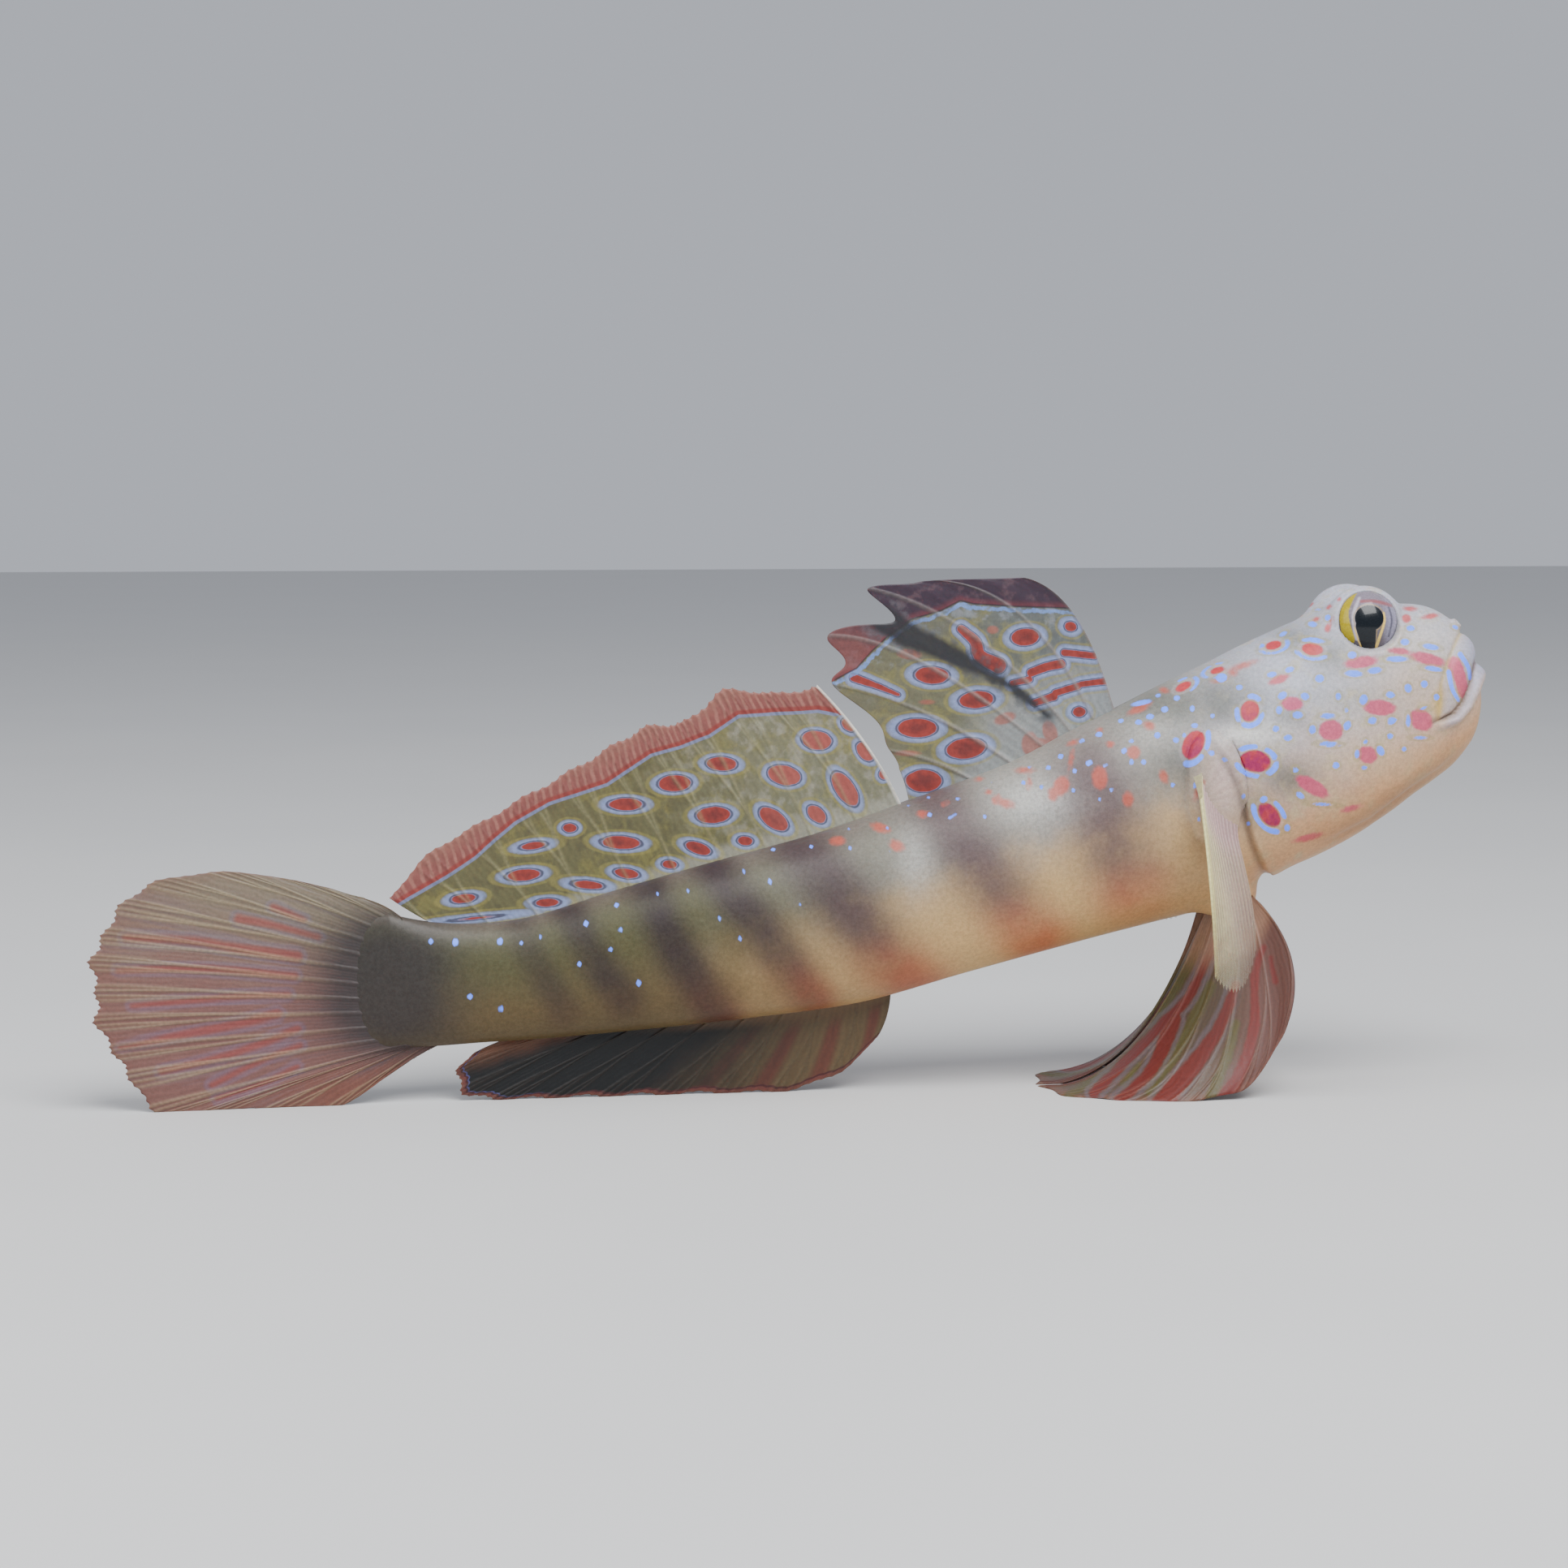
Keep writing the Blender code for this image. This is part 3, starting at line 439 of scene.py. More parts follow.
def soften(points, share, passes):
    """A grid of rings with each point drawn by its share of the way towards the mean of its four
    neighbours, over and over."""
    points = points.copy()
    share = SOFTENING * share[1:-1, :, None]
    for _ in range(passes):
        beside = np.roll(points, 1, axis=1) + np.roll(points, -1, axis=1)
        mean = (beside[1:-1] + points[:-2] + points[2:]) / 4
        points[1:-1] += share * (mean - points[1:-1])
    return points


def distance_to_pair(points, places):
    return np.min([np.linalg.norm(points - place, axis=-1) for place in places], axis=0)


def soften_orbits(points):
    """The orbit's wall runs out into the head."""
    nearest = distance_to_pair(points, [eye_centre(side) for side in (-1, 1)])
    return soften(points, step(nearest, *ORBIT_INNER) * step(-nearest, *ORBIT_OUTER), ORBIT_PASSES)


def soften_throat(points):
    """The two pelvic bases run into each other and into the throat."""
    nearest = distance_to_pair(points, [np.array(PELVIC_BASE_CENTRE) * (1, side, 1) for side in (-1, 1)])
    return soften(points, step(-nearest, *THROAT_OUTER), THROAT_PASSES)


def soften_nose(points):
    """The lips run smoothly over the mid-line."""
    ring = np.arange(len(points))[:, None]
    return soften(points, step(-np.abs(points[..., 1]), *NOSE_OUTER) * (ring < NOSE_END), NOSE_PASSES)


# The low lid round the eyeball, and where the skin dips under its edge and then into the head.
EYELID_RADIUS, EYELID_HEIGHT, EYELID_WIDTH = 2.76, 0.05, 0.15
EDGE_DIP, EDGE_DIP_RADII = 0.6, (-2.62, -2.38)
INNER_DIP, INNER_DIP_RADII = 3.0, (-2.38, -1.0)


def sink_eye(points, side):
    """The skin dips under the eyeball's edge, past a low lid round it."""
    axes = eye_axes(side)
    local = (points - eye_centre(side)) @ axes.T
    radius = np.hypot(local[..., 0], local[..., 2])
    outside = local[..., 1] > -1.0
    lid = EYELID_HEIGHT * hump(radius, EYELID_RADIUS, EYELID_WIDTH)
    dip = EDGE_DIP * step(-radius, *EDGE_DIP_RADII) + INNER_DIP * step(-radius, *INNER_DIP_RADII)
    return points + np.where(outside, lid - dip, 0)[..., None] * axes[1]


def skin_grid():
    """The finished skin: the body with its orbits and fin bases pushed out and softened, the relief laid on
    along the skin's own directions, and the eyes' places sunk."""
    points, middles, level = body_grid()
    for side in (-1, 1):
        axes = eye_axes(side)
        centre = eye_centre(side) - ORBIT_INWARD * axes[1]
        points = push_out(points, middles, centre, axes, np.array(ORBIT_RADII), ORBIT_SHARPNESS)
    points = soften_orbits(points)
    for place, radii, sharpness in (PECTORAL_BASE, PELVIC_BASE):
        for side in (-1, 1):
            centre = np.array(place) * (1, side, 1)
            points = push_out(points, middles, centre, np.eye(3), np.array(radii), sharpness)
    points = soften_throat(points)
    relief = head_relief(points)
    points = soften_nose(points + ring_normals(points) * relief[..., None])
    points[0] = points[1].mean(axis=0)
    for side in (-1, 1):
        points = sink_eye(points, side)
    return points, level


# Markings.

# The distance given where no mark is near, how far a spot reaches along the line of sight in halves of its
# longer side, and into how many straight pieces a stroke is cut from one of its points to the next.
OFF_MARK = -9.0
DEPTH_REACH = 2.2
STROKE_PIECES = 3


def ellipse_field(u, v, spots, depth=None, facing=None):
    """Signed distance in mm from the edge of the nearest spot, positive inside it. A spot is (u, v,
    length, height, tilt) in pixels and degrees, tilt falling to the right and 0 if left out. On a body,
    depth keeps a spot from running on where the skin turns away from the camera."""
    field = np.full(u.shape, OFF_MARK)
    for spot in spots:
        spot_u, spot_v, length, height, tilt = (*spot, 0)[:5]
        du, dv = u - spot_u, v - spot_v
        turn = math.radians(tilt)
        s = (du * math.cos(turn) + dv * math.sin(turn)) / (length / 2)
        t = (dv * math.cos(turn) - du * math.sin(turn)) / (height / 2)
        square = s**2 + t**2
        size = min(length, height) / 2
        if depth is not None:
            place = np.argmin(np.where(facing, du**2 + dv**2, 1e9))
            past = (depth - depth.reshape(-1)[place]) * PIXELS_PER_MM
            square = square + (past / (DEPTH_REACH * max(length, height) / 2)) ** 2
        field = np.maximum(field, (1 - np.sqrt(square)) * size / PIXELS_PER_MM)
    return field


def stroke_field(u, v, strokes):
    """Signed distance in mm from the edge of the nearest stroke, positive inside it. A stroke is a
    smooth line through (u, v) points and its width at each end, in pixels."""
    field = np.full(u.shape, OFF_MARK)
    for line, first_width, last_width in strokes:
        drawn = smooth_rows(line, np.linspace(0, len(line) - 1, STROKE_PIECES * (len(line) - 1) + 1))
        away, along = line_distance(np.stack([u, v], axis=-1), drawn)
        half = (first_width + (last_width - first_width) * along) / 2
        field = np.maximum(field, (half - np.abs(away)) / PIXELS_PER_MM)
    return field


# Red spots of the head, each with the arcs of its broken blue ring, in degrees clockwise from the right.
RINGED_SPOTS = (
    ((1547, 938, 40, 28, 8), ((-138, -90), (-46, -14), (12, 42), (84, 168))),
    ((1540, 876, 24, 28, 15), ((-88, -55), (18, 112), (145, 185))),
    ((1470, 917, 27, 40, 25), ((-35, 15), (55, 108))),
    ((1617, 800, 28, 16, 8), ((35, 168), (-130, -50))),
    ((1564, 1004, 36, 23, 50), ((68, 205), (-62, 5))),
    ((1569, 795, 22, 12, -10), ((-15, 150),)),
    ((1458, 846, 22, 11, -28), ((-130, -75), (-35, 25))),
    ((1500, 826, 20, 9, -15), ((-110, -60), (150, 205), (60, 110))),
)
PLAIN_SPOTS = (
    (1592, 867, 29, 18, 5), (1640, 900, 31, 27), (1677, 816, 44, 15, -8), (1617, 969, 48, 19, 31),
    (1700, 872, 42, 20, 5), (1751, 887, 32, 26, 35), (1685, 930, 26, 22, 20), (1733, 762, 12, 12, 30),
    (1737, 750, 18, 7), (1763, 759, 24, 7, -10), (1576, 837, 28, 11, -22), (1622, 763, 11, 7),
    (1636, 774, 8, 11), (1637, 748, 10, 8), (1631, 729, 14, 7, 10), (1616, 745, 6, 12),
    (1759, 812, 50, 15, 14), (1724, 802, 30, 9, 6), (1612, 1032, 40, 9, -14), (1665, 996, 28, 8, -16),
    (1650, 738, 6, 6), (1641, 765, 6, 10, 20),
)
NAPE_DASHES = (
    (1531, 820, 36, 8, -18), (1519, 829, 14, 8, 20), (1434, 850, 15, 8, 25), (1404, 873, 30, 10, -25),
    (1416, 894, 16, 11, 20), (1397, 927, 17, 17, 40), (1434, 957, 11, 18, -20), (1355, 958, 20, 30, -5),
    (1308, 968, 20, 24, 10), (1368, 917, 11, 8, 10), (1355, 899, 9, 6), (1322, 915, 14, 7, -20),
    (1262, 949, 24, 8), (1268, 965, 8, 16), (1320, 935, 6, 26, 10), (1298, 978, 14, 20),
    (1228, 985, 12, 14, 20), (1206, 960, 12, 7), (1240, 990, 22, 12, 20), (1137, 1003, 16, 10, 10),
    (1085, 1020, 26, 12, 20), (1105, 1042, 22, 14, 30), (1165, 990, 10, 9), (1032, 1036, 20, 12),
    (1390, 985, 14, 20), (1478, 973, 10, 26, 25), (1218, 976, 10, 8), (1502, 838, 20, 6, -12),
)
# Blue dots: the tilted ones and those of a size of their own, then the other upright ones by length and
# height.
BLUE_DOTS = (
    (1621, 789, 22, 6, 10), (1617, 769, 13, 7, 15), (1580, 857, 12, 9, -30), (1608, 858, 11, 9, 20),
    (1567, 831, 12, 7, -10), (1589, 825, 12, 7, -15), (1660, 894, 9, 12, 30), (1638, 917, 28, 7, 3),
    (1668, 830, 23, 8, 3), (1694, 826, 18, 8, -8), (1763, 797, 20, 7, 10), (1766, 824, 23, 6, 8),
    (1735, 848, 9, 11, -20), (1713, 856, 12, 8, 10), (1680, 862, 10, 13, 20), (1715, 888, 13, 9, -10),
    (1756, 873, 13, 5, -5), (1701, 925, 9, 13, -30), (1602, 980, 12, 7, 35), (1629, 991, 24, 4, 3),
    (1557, 985, 10, 8, -20), (1581, 781, 10, 6, -30), (1449, 912, 8, 7, 30), (1406, 866, 25, 6, -12),
    (1474, 966, 6, 12, 35), (1793, 773, 8, 5, 20), (1408, 866, 20, 5, -10), (1284, 969, 6, 8, 10),
    (1355, 985, 4, 5), (1484, 988, 4, 6), (1477, 1010, 4, 7), (888, 1131, 6, 9), (1672, 929, 6, 11),
    (1735, 888, 6, 15), (616, 1160, 7, 10), (561, 1161, 7, 11), (1122, 992, 8, 4), (1681, 946, 8, 5),
    (763, 1146, 8, 9), (1182, 984, 9, 5), (1755, 843, 9, 9), (1617, 899, 9, 11), (1666, 807, 11, 9),
    (1626, 836, 11, 10), (1691, 888, 12, 9), (1599, 881, 13, 9), (1505, 835, 14, 12), (1750, 909, 16, 4),
    (1636, 882, 19, 7), (1721, 812, 27, 7),
)
UPRIGHT_BLUE_DOTS = {
    (5, 5): ((1180, 1002), (1168, 1009), (788, 1101), (1094, 1050)),
    (5, 6): (
        (1659, 875), (1459, 906), (1538, 1015), (1224, 962), (1221, 993), (810, 1161), (811, 1101),
        (642, 1162), (1047, 1045),
    ),
    (5, 8): ((1532, 981), (667, 1154)),
    (6, 4): ((1627, 752), (1143, 983)),
    (6, 5): ((1402, 889), (1044, 1022)),
    (6, 6): (
        (1730, 923), (1494, 882), (1445, 967), (1362, 943), (1322, 974), (1370, 973), (1214, 1006),
        (984, 1115), (972, 1056), (1000, 1043), (1092, 1021),
    ),
    (6, 7): ((1555, 796), (1324, 950), (849, 1097)),
    (6, 8): ((1469, 873), (1394, 939), (911, 1157), (1004, 1163), (531, 1160)),
    (6, 10): ((918, 1072), (948, 1087), (617, 1243)),
    (7, 5): ((1427, 857), (1394, 913), (1270, 945), (1212, 972)),
    (7, 6): ((1381, 888), (952, 1047)),
    (7, 7): ((1682, 913), (1409, 939), (1333, 913), (1260, 965), (1145, 1004), (760, 1115)),
    (7, 8): ((1385, 925), (713, 1188), (579, 1228)),
    (7, 9): ((1649, 858), (1586, 1020), (722, 1138)),
    (8, 6): ((1509, 936), (1291, 946)),
    (8, 7): ((1713, 907), (1450, 860), (1493, 928), (1307, 932), (751, 1170)),
    (8, 8): ((1636, 761), (1770, 859), (1426, 906)),
    (8, 10): ((1576, 875), (788, 1211)),
    (9, 6): ((1472, 894), (1403, 890)),
    (9, 7): ((1527, 847), (1354, 905)),
    (9, 8): ((1646, 943), (1596, 948), (1572, 898), (1435, 874), (1342, 940)),
    (10, 7): ((1738, 774), (1417, 883)),
    (11, 8): ((1731, 791), (1587, 909)),
}
# Bars of the flank, each a line from the back down, then its half width and strength.
BARS = (
    (((1345, 960), (1372, 1036), (1392, 1082)), 54, 0.95),
    (((1150, 980), (1206, 1066), (1278, 1158)), 44, 0.95),
    (((970, 1020), (1024, 1089), (1058, 1136), (1091, 1178), (1135, 1222)), 42, 1.0),
    (((872, 1058), (906, 1106), (944, 1152), (973, 1190), (1004, 1232)), 30, 1.0),
    (((792, 1082), (818, 1140), (839, 1182), (864, 1220), (890, 1258)), 29, 1.0),
    (((700, 1120), (730, 1180), (768, 1230)), 25, 0.85),
    (((640, 1145), (668, 1200), (695, 1245)), 22, 0.6),
)
# Soft grey clouds of painted shade on the head and the front of the flank, behind and under the eye, above
# the
# gill cover and by the pectoral base: u, v, how far each way, and strength.
SHADE_CLOUDS = (
    (1640, 808, 30, 22, 0.75), (1590, 960, 40, 28, 0.75), (1512, 866, 50, 30, 0.7),
    (1430, 870, 70, 26, 0.75), (1548, 995, 24, 32, 0.6), (1452, 945, 36, 30, 0.55),
    (1590, 885, 28, 16, 0.5), (1300, 1000, 40, 16, 0.3), (1596, 786, 36, 18, 0.55),
    (1660, 862, 60, 16, 0.3),
)
PALE_CLOUDS = (
    (1538, 906, 44, 12, 1.0), (1566, 902, 30, 18, 0.6), (1660, 870, 50, 40, 0.3),
    (1760, 790, 40, 30, 0.3), (1290, 985, 60, 30, 0.6), (1130, 1060, 24, 40, 0.4),
    (1420, 900, 40, 24, 0.3),
)
WARM_CLOUDS = (
    (1787, 862, 34, 34, 0.9), (1745, 838, 70, 60, 0.5), (1700, 935, 100, 42, 0.55),
    (1640, 985, 60, 30, 0.4), (1560, 1030, 60, 30, 0.4), (1800, 790, 20, 34, 0.4),
    (1420, 1060, 60, 50, 0.4),
)
# Single marks: the tail stalk's dark patch, the pectoral fin's fleshy lobe and the middle of its fan of
# strands, the red spot and blue arcs of the upper lip, and the mouth's yellow corner.
STALK_BLOTCH = (482, 1212, 92, 92)
PECTORAL_LOBE = (1508, 962, 26, 46, 1.0)
LOBE_FAN = (1478, 988)
UPPER_LIP_SPOT = (((1792, 818), (1800, 838), (1803, 854)), 20, 14)
UPPER_LIP_ARCS = (
    (((1799, 806), (1809, 822), (1811, 836)), 6, 4), (((1785, 828), (1789, 848), (1797, 863)), 6, 4),
)
MOUTH_CORNER = (1781, 868, 26, 36, 20)

# A blue ring's distance from its spot and half its width, in millimetres. Round a spot less high in pixels
# than RING_FULL_HEIGHT it is narrower.
RING_GAP = 0.26
RING_HALF = 0.19
RING_FULL_HEIGHT = 24

# How sharp a bar's edge is, and how much the skin has to face the camera at the middle of a spot.
BAR_SHARPNESS = 2.6
LEAST_FACING = 0.1

# The upper lip's marks shrink towards the mid-line: between these distances from it, with a minus, and by
# this many millimetres.
MIDLINE_CLEAR, MIDLINE_LOSS = (-2.8, -2.0), 3.0


def clouds(u, v, blobs):
    """Soft round clouds, 0 to 1."""
    field = np.zeros(u.shape)
    for blob_u, blob_v, reach_u, reach_v, strength in blobs:
        away = ((u - blob_u) / reach_u) ** 2 + ((v - blob_v) / reach_v) ** 2
        field = np.maximum(field, strength * np.exp(-away))
    return field


def stalk_blotch(u, v):
    """The dark patch that the tail's stalk and the foot of its fin share, 0 to 1."""
    middle_u, middle_v, reach_u, reach_v = STALK_BLOTCH
    return np.exp(-(((u - middle_u) / reach_u) ** 2) - np.abs((v - middle_v) / reach_v) ** 3)


def ring_arcs(u, v, ringed, depth, facing):
    """Signed distance in mm from the edge of round-ended blue arcs that run about each ringed spot."""
    field = np.full(u.shape, OFF_MARK)
    for spot, arcs in ringed:
        edge = ellipse_field(u, v, (spot,), depth, facing)
        turn = np.degrees(np.arctan2(v - spot[1], u - spot[0]))
        mm_per_degree = math.radians(1) * (spot[2] + spot[3]) / 4 / PIXELS_PER_MM
        half = RING_HALF * min(spot[3] / RING_FULL_HEIGHT, 1)
        for first, last in arcs:
            past = np.abs((turn - (first + last) / 2 + 180) % 360 - 180) - (last - first) / 2
            away = np.hypot(edge + RING_GAP, np.maximum(past, 0) * mm_per_degree)
            field = np.maximum(field, half - away)
    return field


def skin_fields(points, level):
    """Point attributes that the skin's material reads."""
    u, v, depth = to_photo(folded(points))
    normals = ring_normals(points)
    left = points[..., 1] > tail_turn(points[..., 0])
    normals[..., 1] = np.where(left, -normals[..., 1], normals[..., 1])
    facing = normals @ camera_axes()[2] > LEAST_FACING
    bar = np.zeros(u.shape)
    for line, half, strength in BARS:
        away, _ = photo_distance(u, v, line)
        bar = np.maximum(bar, strength * np.exp(-(np.abs(away * PIXELS_PER_MM / half) ** BAR_SHARPNESS)))
    upper, lower, mouth, along, edge = lip_shares(u, v)
    lip_strength = step(along, 0.05, 0.3)
    gill, gill_along = photo_distance(u, v, GILL_EDGE)
    fold, fold_along = photo_distance(u, v, JAW_FOLD)
    fold_ends = np.sin(np.pi * np.clip(fold_along, 0.0, 1.0)) ** 0.7
    upright = [(*place, *size) for size, places in UPRIGHT_BLUE_DOTS.items() for place in places]
    blue = ellipse_field(u, v, (*BLUE_DOTS, *upright), depth, facing)
    blue = np.maximum(blue, ring_arcs(u, v, RINGED_SPOTS, depth, facing))
    front = MIDLINE_LOSS * step(-np.abs(points[..., 1]), *MIDLINE_CLEAR)
    blue = np.maximum(blue, stroke_field(u, v, UPPER_LIP_ARCS) - front)
    lip_spot = np.where(mouth > 0, stroke_field(u, v, (UPPER_LIP_SPOT,)) - front, OFF_MARK)
    return {
        "level": level,
        "red": ellipse_field(u, v, [spot for spot, _ in RINGED_SPOTS], depth, facing),
        "rose": np.maximum(ellipse_field(u, v, PLAIN_SPOTS, depth, facing), lip_spot),
        "nape": ellipse_field(u, v, NAPE_DASHES, depth, facing),
        "blue": blue,
        "bar": bar,
        "painted_shade": clouds(u, v, SHADE_CLOUDS),
        "pale": clouds(u, v, PALE_CLOUDS),
        "warm": clouds(u, v, WARM_CLOUDS),
        "blotch": stalk_blotch(u, v),
        "lobe": clouds(u, v, (PECTORAL_LOBE,)),
        "fan": np.arctan2(v - LOBE_FAN[1], u - LOBE_FAN[0]),
        "mouth": hump(mouth, 0, 0.16) * step(along, 0.0, 0.1),
        "lip": lip_strength * np.maximum(np.sin(np.pi * upper), np.sin(np.pi * lower)) ** 0.5,
        "crease": lip_strength * hump(edge, 0.05, 0.16) * (mouth > 0),
        "corner": step(ellipse_field(u, v, (MOUTH_CORNER,), depth, facing), -0.7, 0.5),
        "fold": fold_ends * np.where(fold > 0, hump(fold, 0, 0.5), hump(fold, 0, 1.6)),
        "gill": hump(gill, -0.3, 0.3) * step(gill_along, 0.1, 0.3) * step(-gill_along, -1.0, -0.8),
    }


# Fins.

# Half the thickness of a fin's membrane and of its root, up to which v the root reaches, what the membrane
# and the rays lose of their height up to the margin, and the share of it that the very edge keeps.
MEMBRANE_HALF, MEMBRANE_LOSS, RAY_LOSS = 0.10, 0.5, 0.6
ROOT_HALF, ROOT_REACH = 0.45, 0.16
EDGE_HALF_SHARE, EDGE_REACH = 0.35, 0.25

# How deep the roots of the fins on the mid-line are sunk into the body, the small teeth between two rays,
# and between which v the sheet begins to sway.
FIN_SINK = 0.9
FRINGE_TEETH = 5
SWAY_START = (0.1, 0.6)

# How far a ray's two forks part, in shares of the spacing, and between which v each opens.
FORKS = ((0.17, 0.25, 0.8), (0.08, 0.6, 0.95))


class Fin:
    """A fin's sheet: column c runs along the ray numbered c / per_ray, as the quadratic curve
    (1-v)^2 root + 2v(1-v) bend + v^2 tip, where root, bend and tip are smooth curves through those of
    the rays. Between rays v stops short of the margin by notch * sin^2, and by fringe * |sin| of small
    teeth, and the sheet sways by ripple * sin. Each face stands half the thickness off the sheet:
    membrane, plus rays that fork towards the margin, plus a thick root."""

    def __init__(
        self, roots, bends, tips, per_ray, rows, notch, ray_height=0.11, ray_width=0.16, forks=1.0,
        ripple=0.05, fringe=0.0,
    ):
        rays = len(roots)
        self.columns = (rays - 1) * per_ray + 1
        self.rows = rows
        at = np.linspace(0, rays - 1, self.columns)
        share = at - np.floor(at)
        root, bend, tip = (smooth_rows(line, at)[:, None, :] for line in (roots, bends, tips))
        short = np.append(np.broadcast_to(notch, rays - 1), 0.0)[np.floor(at).astype(int)]
        reach = 1 - short * np.sin(np.pi * share) ** 2 - fringe * np.abs(np.sin(FRINGE_TEETH * np.pi * at))
        v = np.linspace(0, 1, rows)[None, :, None] * reach[:, None, None]
        self.sheet = (1 - v) ** 2 * root + 2 * v * (1 - v) * bend + v**2 * tip
        self.v = v[..., 0]
        self.ray = np.broadcast_to(at[:, None], self.v.shape)
        along = np.linalg.norm(np.diff(self.sheet, axis=1), axis=-1)
        length = np.concatenate([np.zeros((self.columns, 1)), np.cumsum(along, axis=1)], axis=1)
        self.edge = length[:, -1:] - length
        spacing = np.linalg.norm(np.gradient(self.sheet, axis=0), axis=-1) * per_ray
        nearest = np.minimum(share, 1 - share)[:, None]
        for apart, first, last in FORKS:
            nearest = np.abs(nearest - forks * apart * step(self.v, first, last))
        self.ridge = hump(nearest * spacing, 0, ray_width)
        normal = np.cross(np.gradient(self.sheet, axis=0), np.gradient(self.sheet, axis=1))
        self.normal = normal / np.maximum(np.linalg.norm(normal, axis=-1, keepdims=True), 1e-9)
        self.half = MEMBRANE_HALF * (1 - MEMBRANE_LOSS * self.v)
        self.half += ray_height * self.ridge * (1 - RAY_LOSS * self.v)
        self.half += (ROOT_HALF - MEMBRANE_HALF) * np.clip(1 - self.v / ROOT_REACH, 0, 1) ** 2
        self.half *= EDGE_HALF_SHARE + (1 - EDGE_HALF_SHARE) * step(self.edge, 0.0, EDGE_REACH)
        sway = ripple * np.sin(2 * np.pi * self.ray) * step(self.v, *SWAY_START)
        self.sheet = self.sheet + self.normal * sway[..., None]

    def photo_place(self):
        u, v, _ = to_photo(folded(self.sheet))
        return u, v

    def add(self, name, material, **marks):
        """The fin as one closed piece: both faces and the rim that joins them, none below the floor."""
        sheet = self.sheet.copy()
        sheet[..., 2] = np.maximum(sheet[..., 2], self.half * np.abs(self.normal[..., 2]))
        front = sheet + self.normal * self.half[..., None]
        back = sheet - self.normal * self.half[..., None]
        points = np.concatenate([front.reshape(-1, 3), back.reshape(-1, 3)])
        points[:, 2] = np.maximum(points[:, 2], 0.0)
        total = self.columns * self.rows
        down = quads(self.columns, self.rows, False)
        number = np.arange(total).reshape(self.columns, self.rows)
        rim = np.concatenate([number[:, 0], number[-1, 1:], number[-2::-1, -1], number[0, -2:0:-1]])
        after = np.roll(rim, -1)
        side = np.stack([rim, rim + total, after + total, after], axis=-1)
        faces = (down[:, ::-1], down + total, side)
        fields = {"v": self.v, "ray": self.ray, "ridge": self.ridge, "edge": self.edge, **marks}
        both = {key: np.concatenate([values.reshape(-1)] * 2) for key, values in fields.items()}
        add_piece(name, points, faces, both, material, (f"fin_{name}",))


def evenly(line, count):
    """A smooth curve through the line's points, read at count places from end to end."""
    return smooth_rows(line, np.linspace(0, len(line) - 1, count))


def body_line(line, x, sink):
    """Points of the back's or the belly's line at each x, sunk into the body."""
    drawn = evenly(SECTIONS[:, line], 400)
    height = np.interp(x, drawn[::-1, 0], drawn[::-1, 1])
    return on_midline(np.stack([x, height - sink], axis=1))


def margin_distance(u, v, line):
    """Signed distance in mm from a line of the photo along a fin's margin, positive beyond it."""
    return line_distance(np.stack([u, v], axis=-1), line)[0] / PIXELS_PER_MM


def middles_with(roots, tips, first, last):
    """Bends of rays: half way from root to tip, moved by (x, z) from first to last across the fin."""
    lean = np.linspace(first, last, len(roots))
    bends = (roots + tips) / 2
    bends[:, 0] += lean[:, 0]
    bends[:, 2] += lean[:, 1]
    return bends


# The rays' feet, bends and tips, as x, (x, z) or (x, y, z), and the pelvic fins' feet as (x, y). They run
# from the front, on the tail and pectoral fins from the top, and on the pelvic fins from the outside.
# A BASE is the first and the last foot's x, and a SINK is how deep the feet are moved into the body.
FIRST_DORSAL_FEET = (26.2, 24.6, 22.8, 20.6, 18.0, 14.8, 8.95)
FIRST_DORSAL_BENDS = (
    (23.5, 41.3), (19.1, 42.0), (14.6, 39.6), (8.7, 37.9), (10.0, 32.4), (10.9, 27.6), (8.6, 25.4),
)
FIRST_DORSAL_TIPS = (
    (18.4, 42.4), (10.8, 42.2), (5.4, 41.6), (2.0, 37.7), (2.4, 33.7), (7.2, 28.2), (8.0, 26.6),
)
FIRST_DORSAL_NOTCHES = (0.02, 0.06, 0.25, 0.12, 0.12, 0.0)

SECOND_DORSAL_BASE = (8.4, -28.9)
SECOND_DORSAL_TIPS = (
    (1.1, 33.7), (-2.7, 33.2), (-6.7, 33.5), (-9.9, 31.0), (-13.0, 30.6), (-16.0, 29.0),
    (-19.4, 27.0), (-23.2, 24.9), (-27.2, 22.6), (-31.0, 20.3), (-34.0, 16.8),
)

ANAL_BASE = (7.3, -20.7)
ANAL_TIPS = (
    (6.2, 4.4), (3.2, 1.5), (-1.6, -0.1), (-6.5, -0.1), (-11.5, -0.1), (-16.2, -0.1),
    (-20.7, -0.1), (-25.2, -0.1), (-28.3, 0.5), (-28.8, 2.5), (-27.3, 3.9),
)

CAUDAL_SINK = 1.4
CAUDAL_FEET = (
    (-34.4, 15.2), (-34.4, 12.6), (-34.4, 10.0), (-34.4, 7.4), (-34.3, 5.0), (-32.6, 4.95), (-30.4, 5.1),
)
CAUDAL_TIPS = (
    (-36.8, 17.0), (-41.4, 18.4), (-47.2, 19.3), (-52.6, 18.7), (-55.6, 16.8), (-57.0, 14.4),
    (-58.05, 12.3), (-57.6, 9.8), (-57.7, 7.4), (-56.3, 4.9), (-55.0, 2.7), (-52.9, -0.1),
    (-48.3, -0.1), (-43.0, -0.1), (-38.2, -0.1), (-34.8, 1.9), (-31.6, 4.0),
)

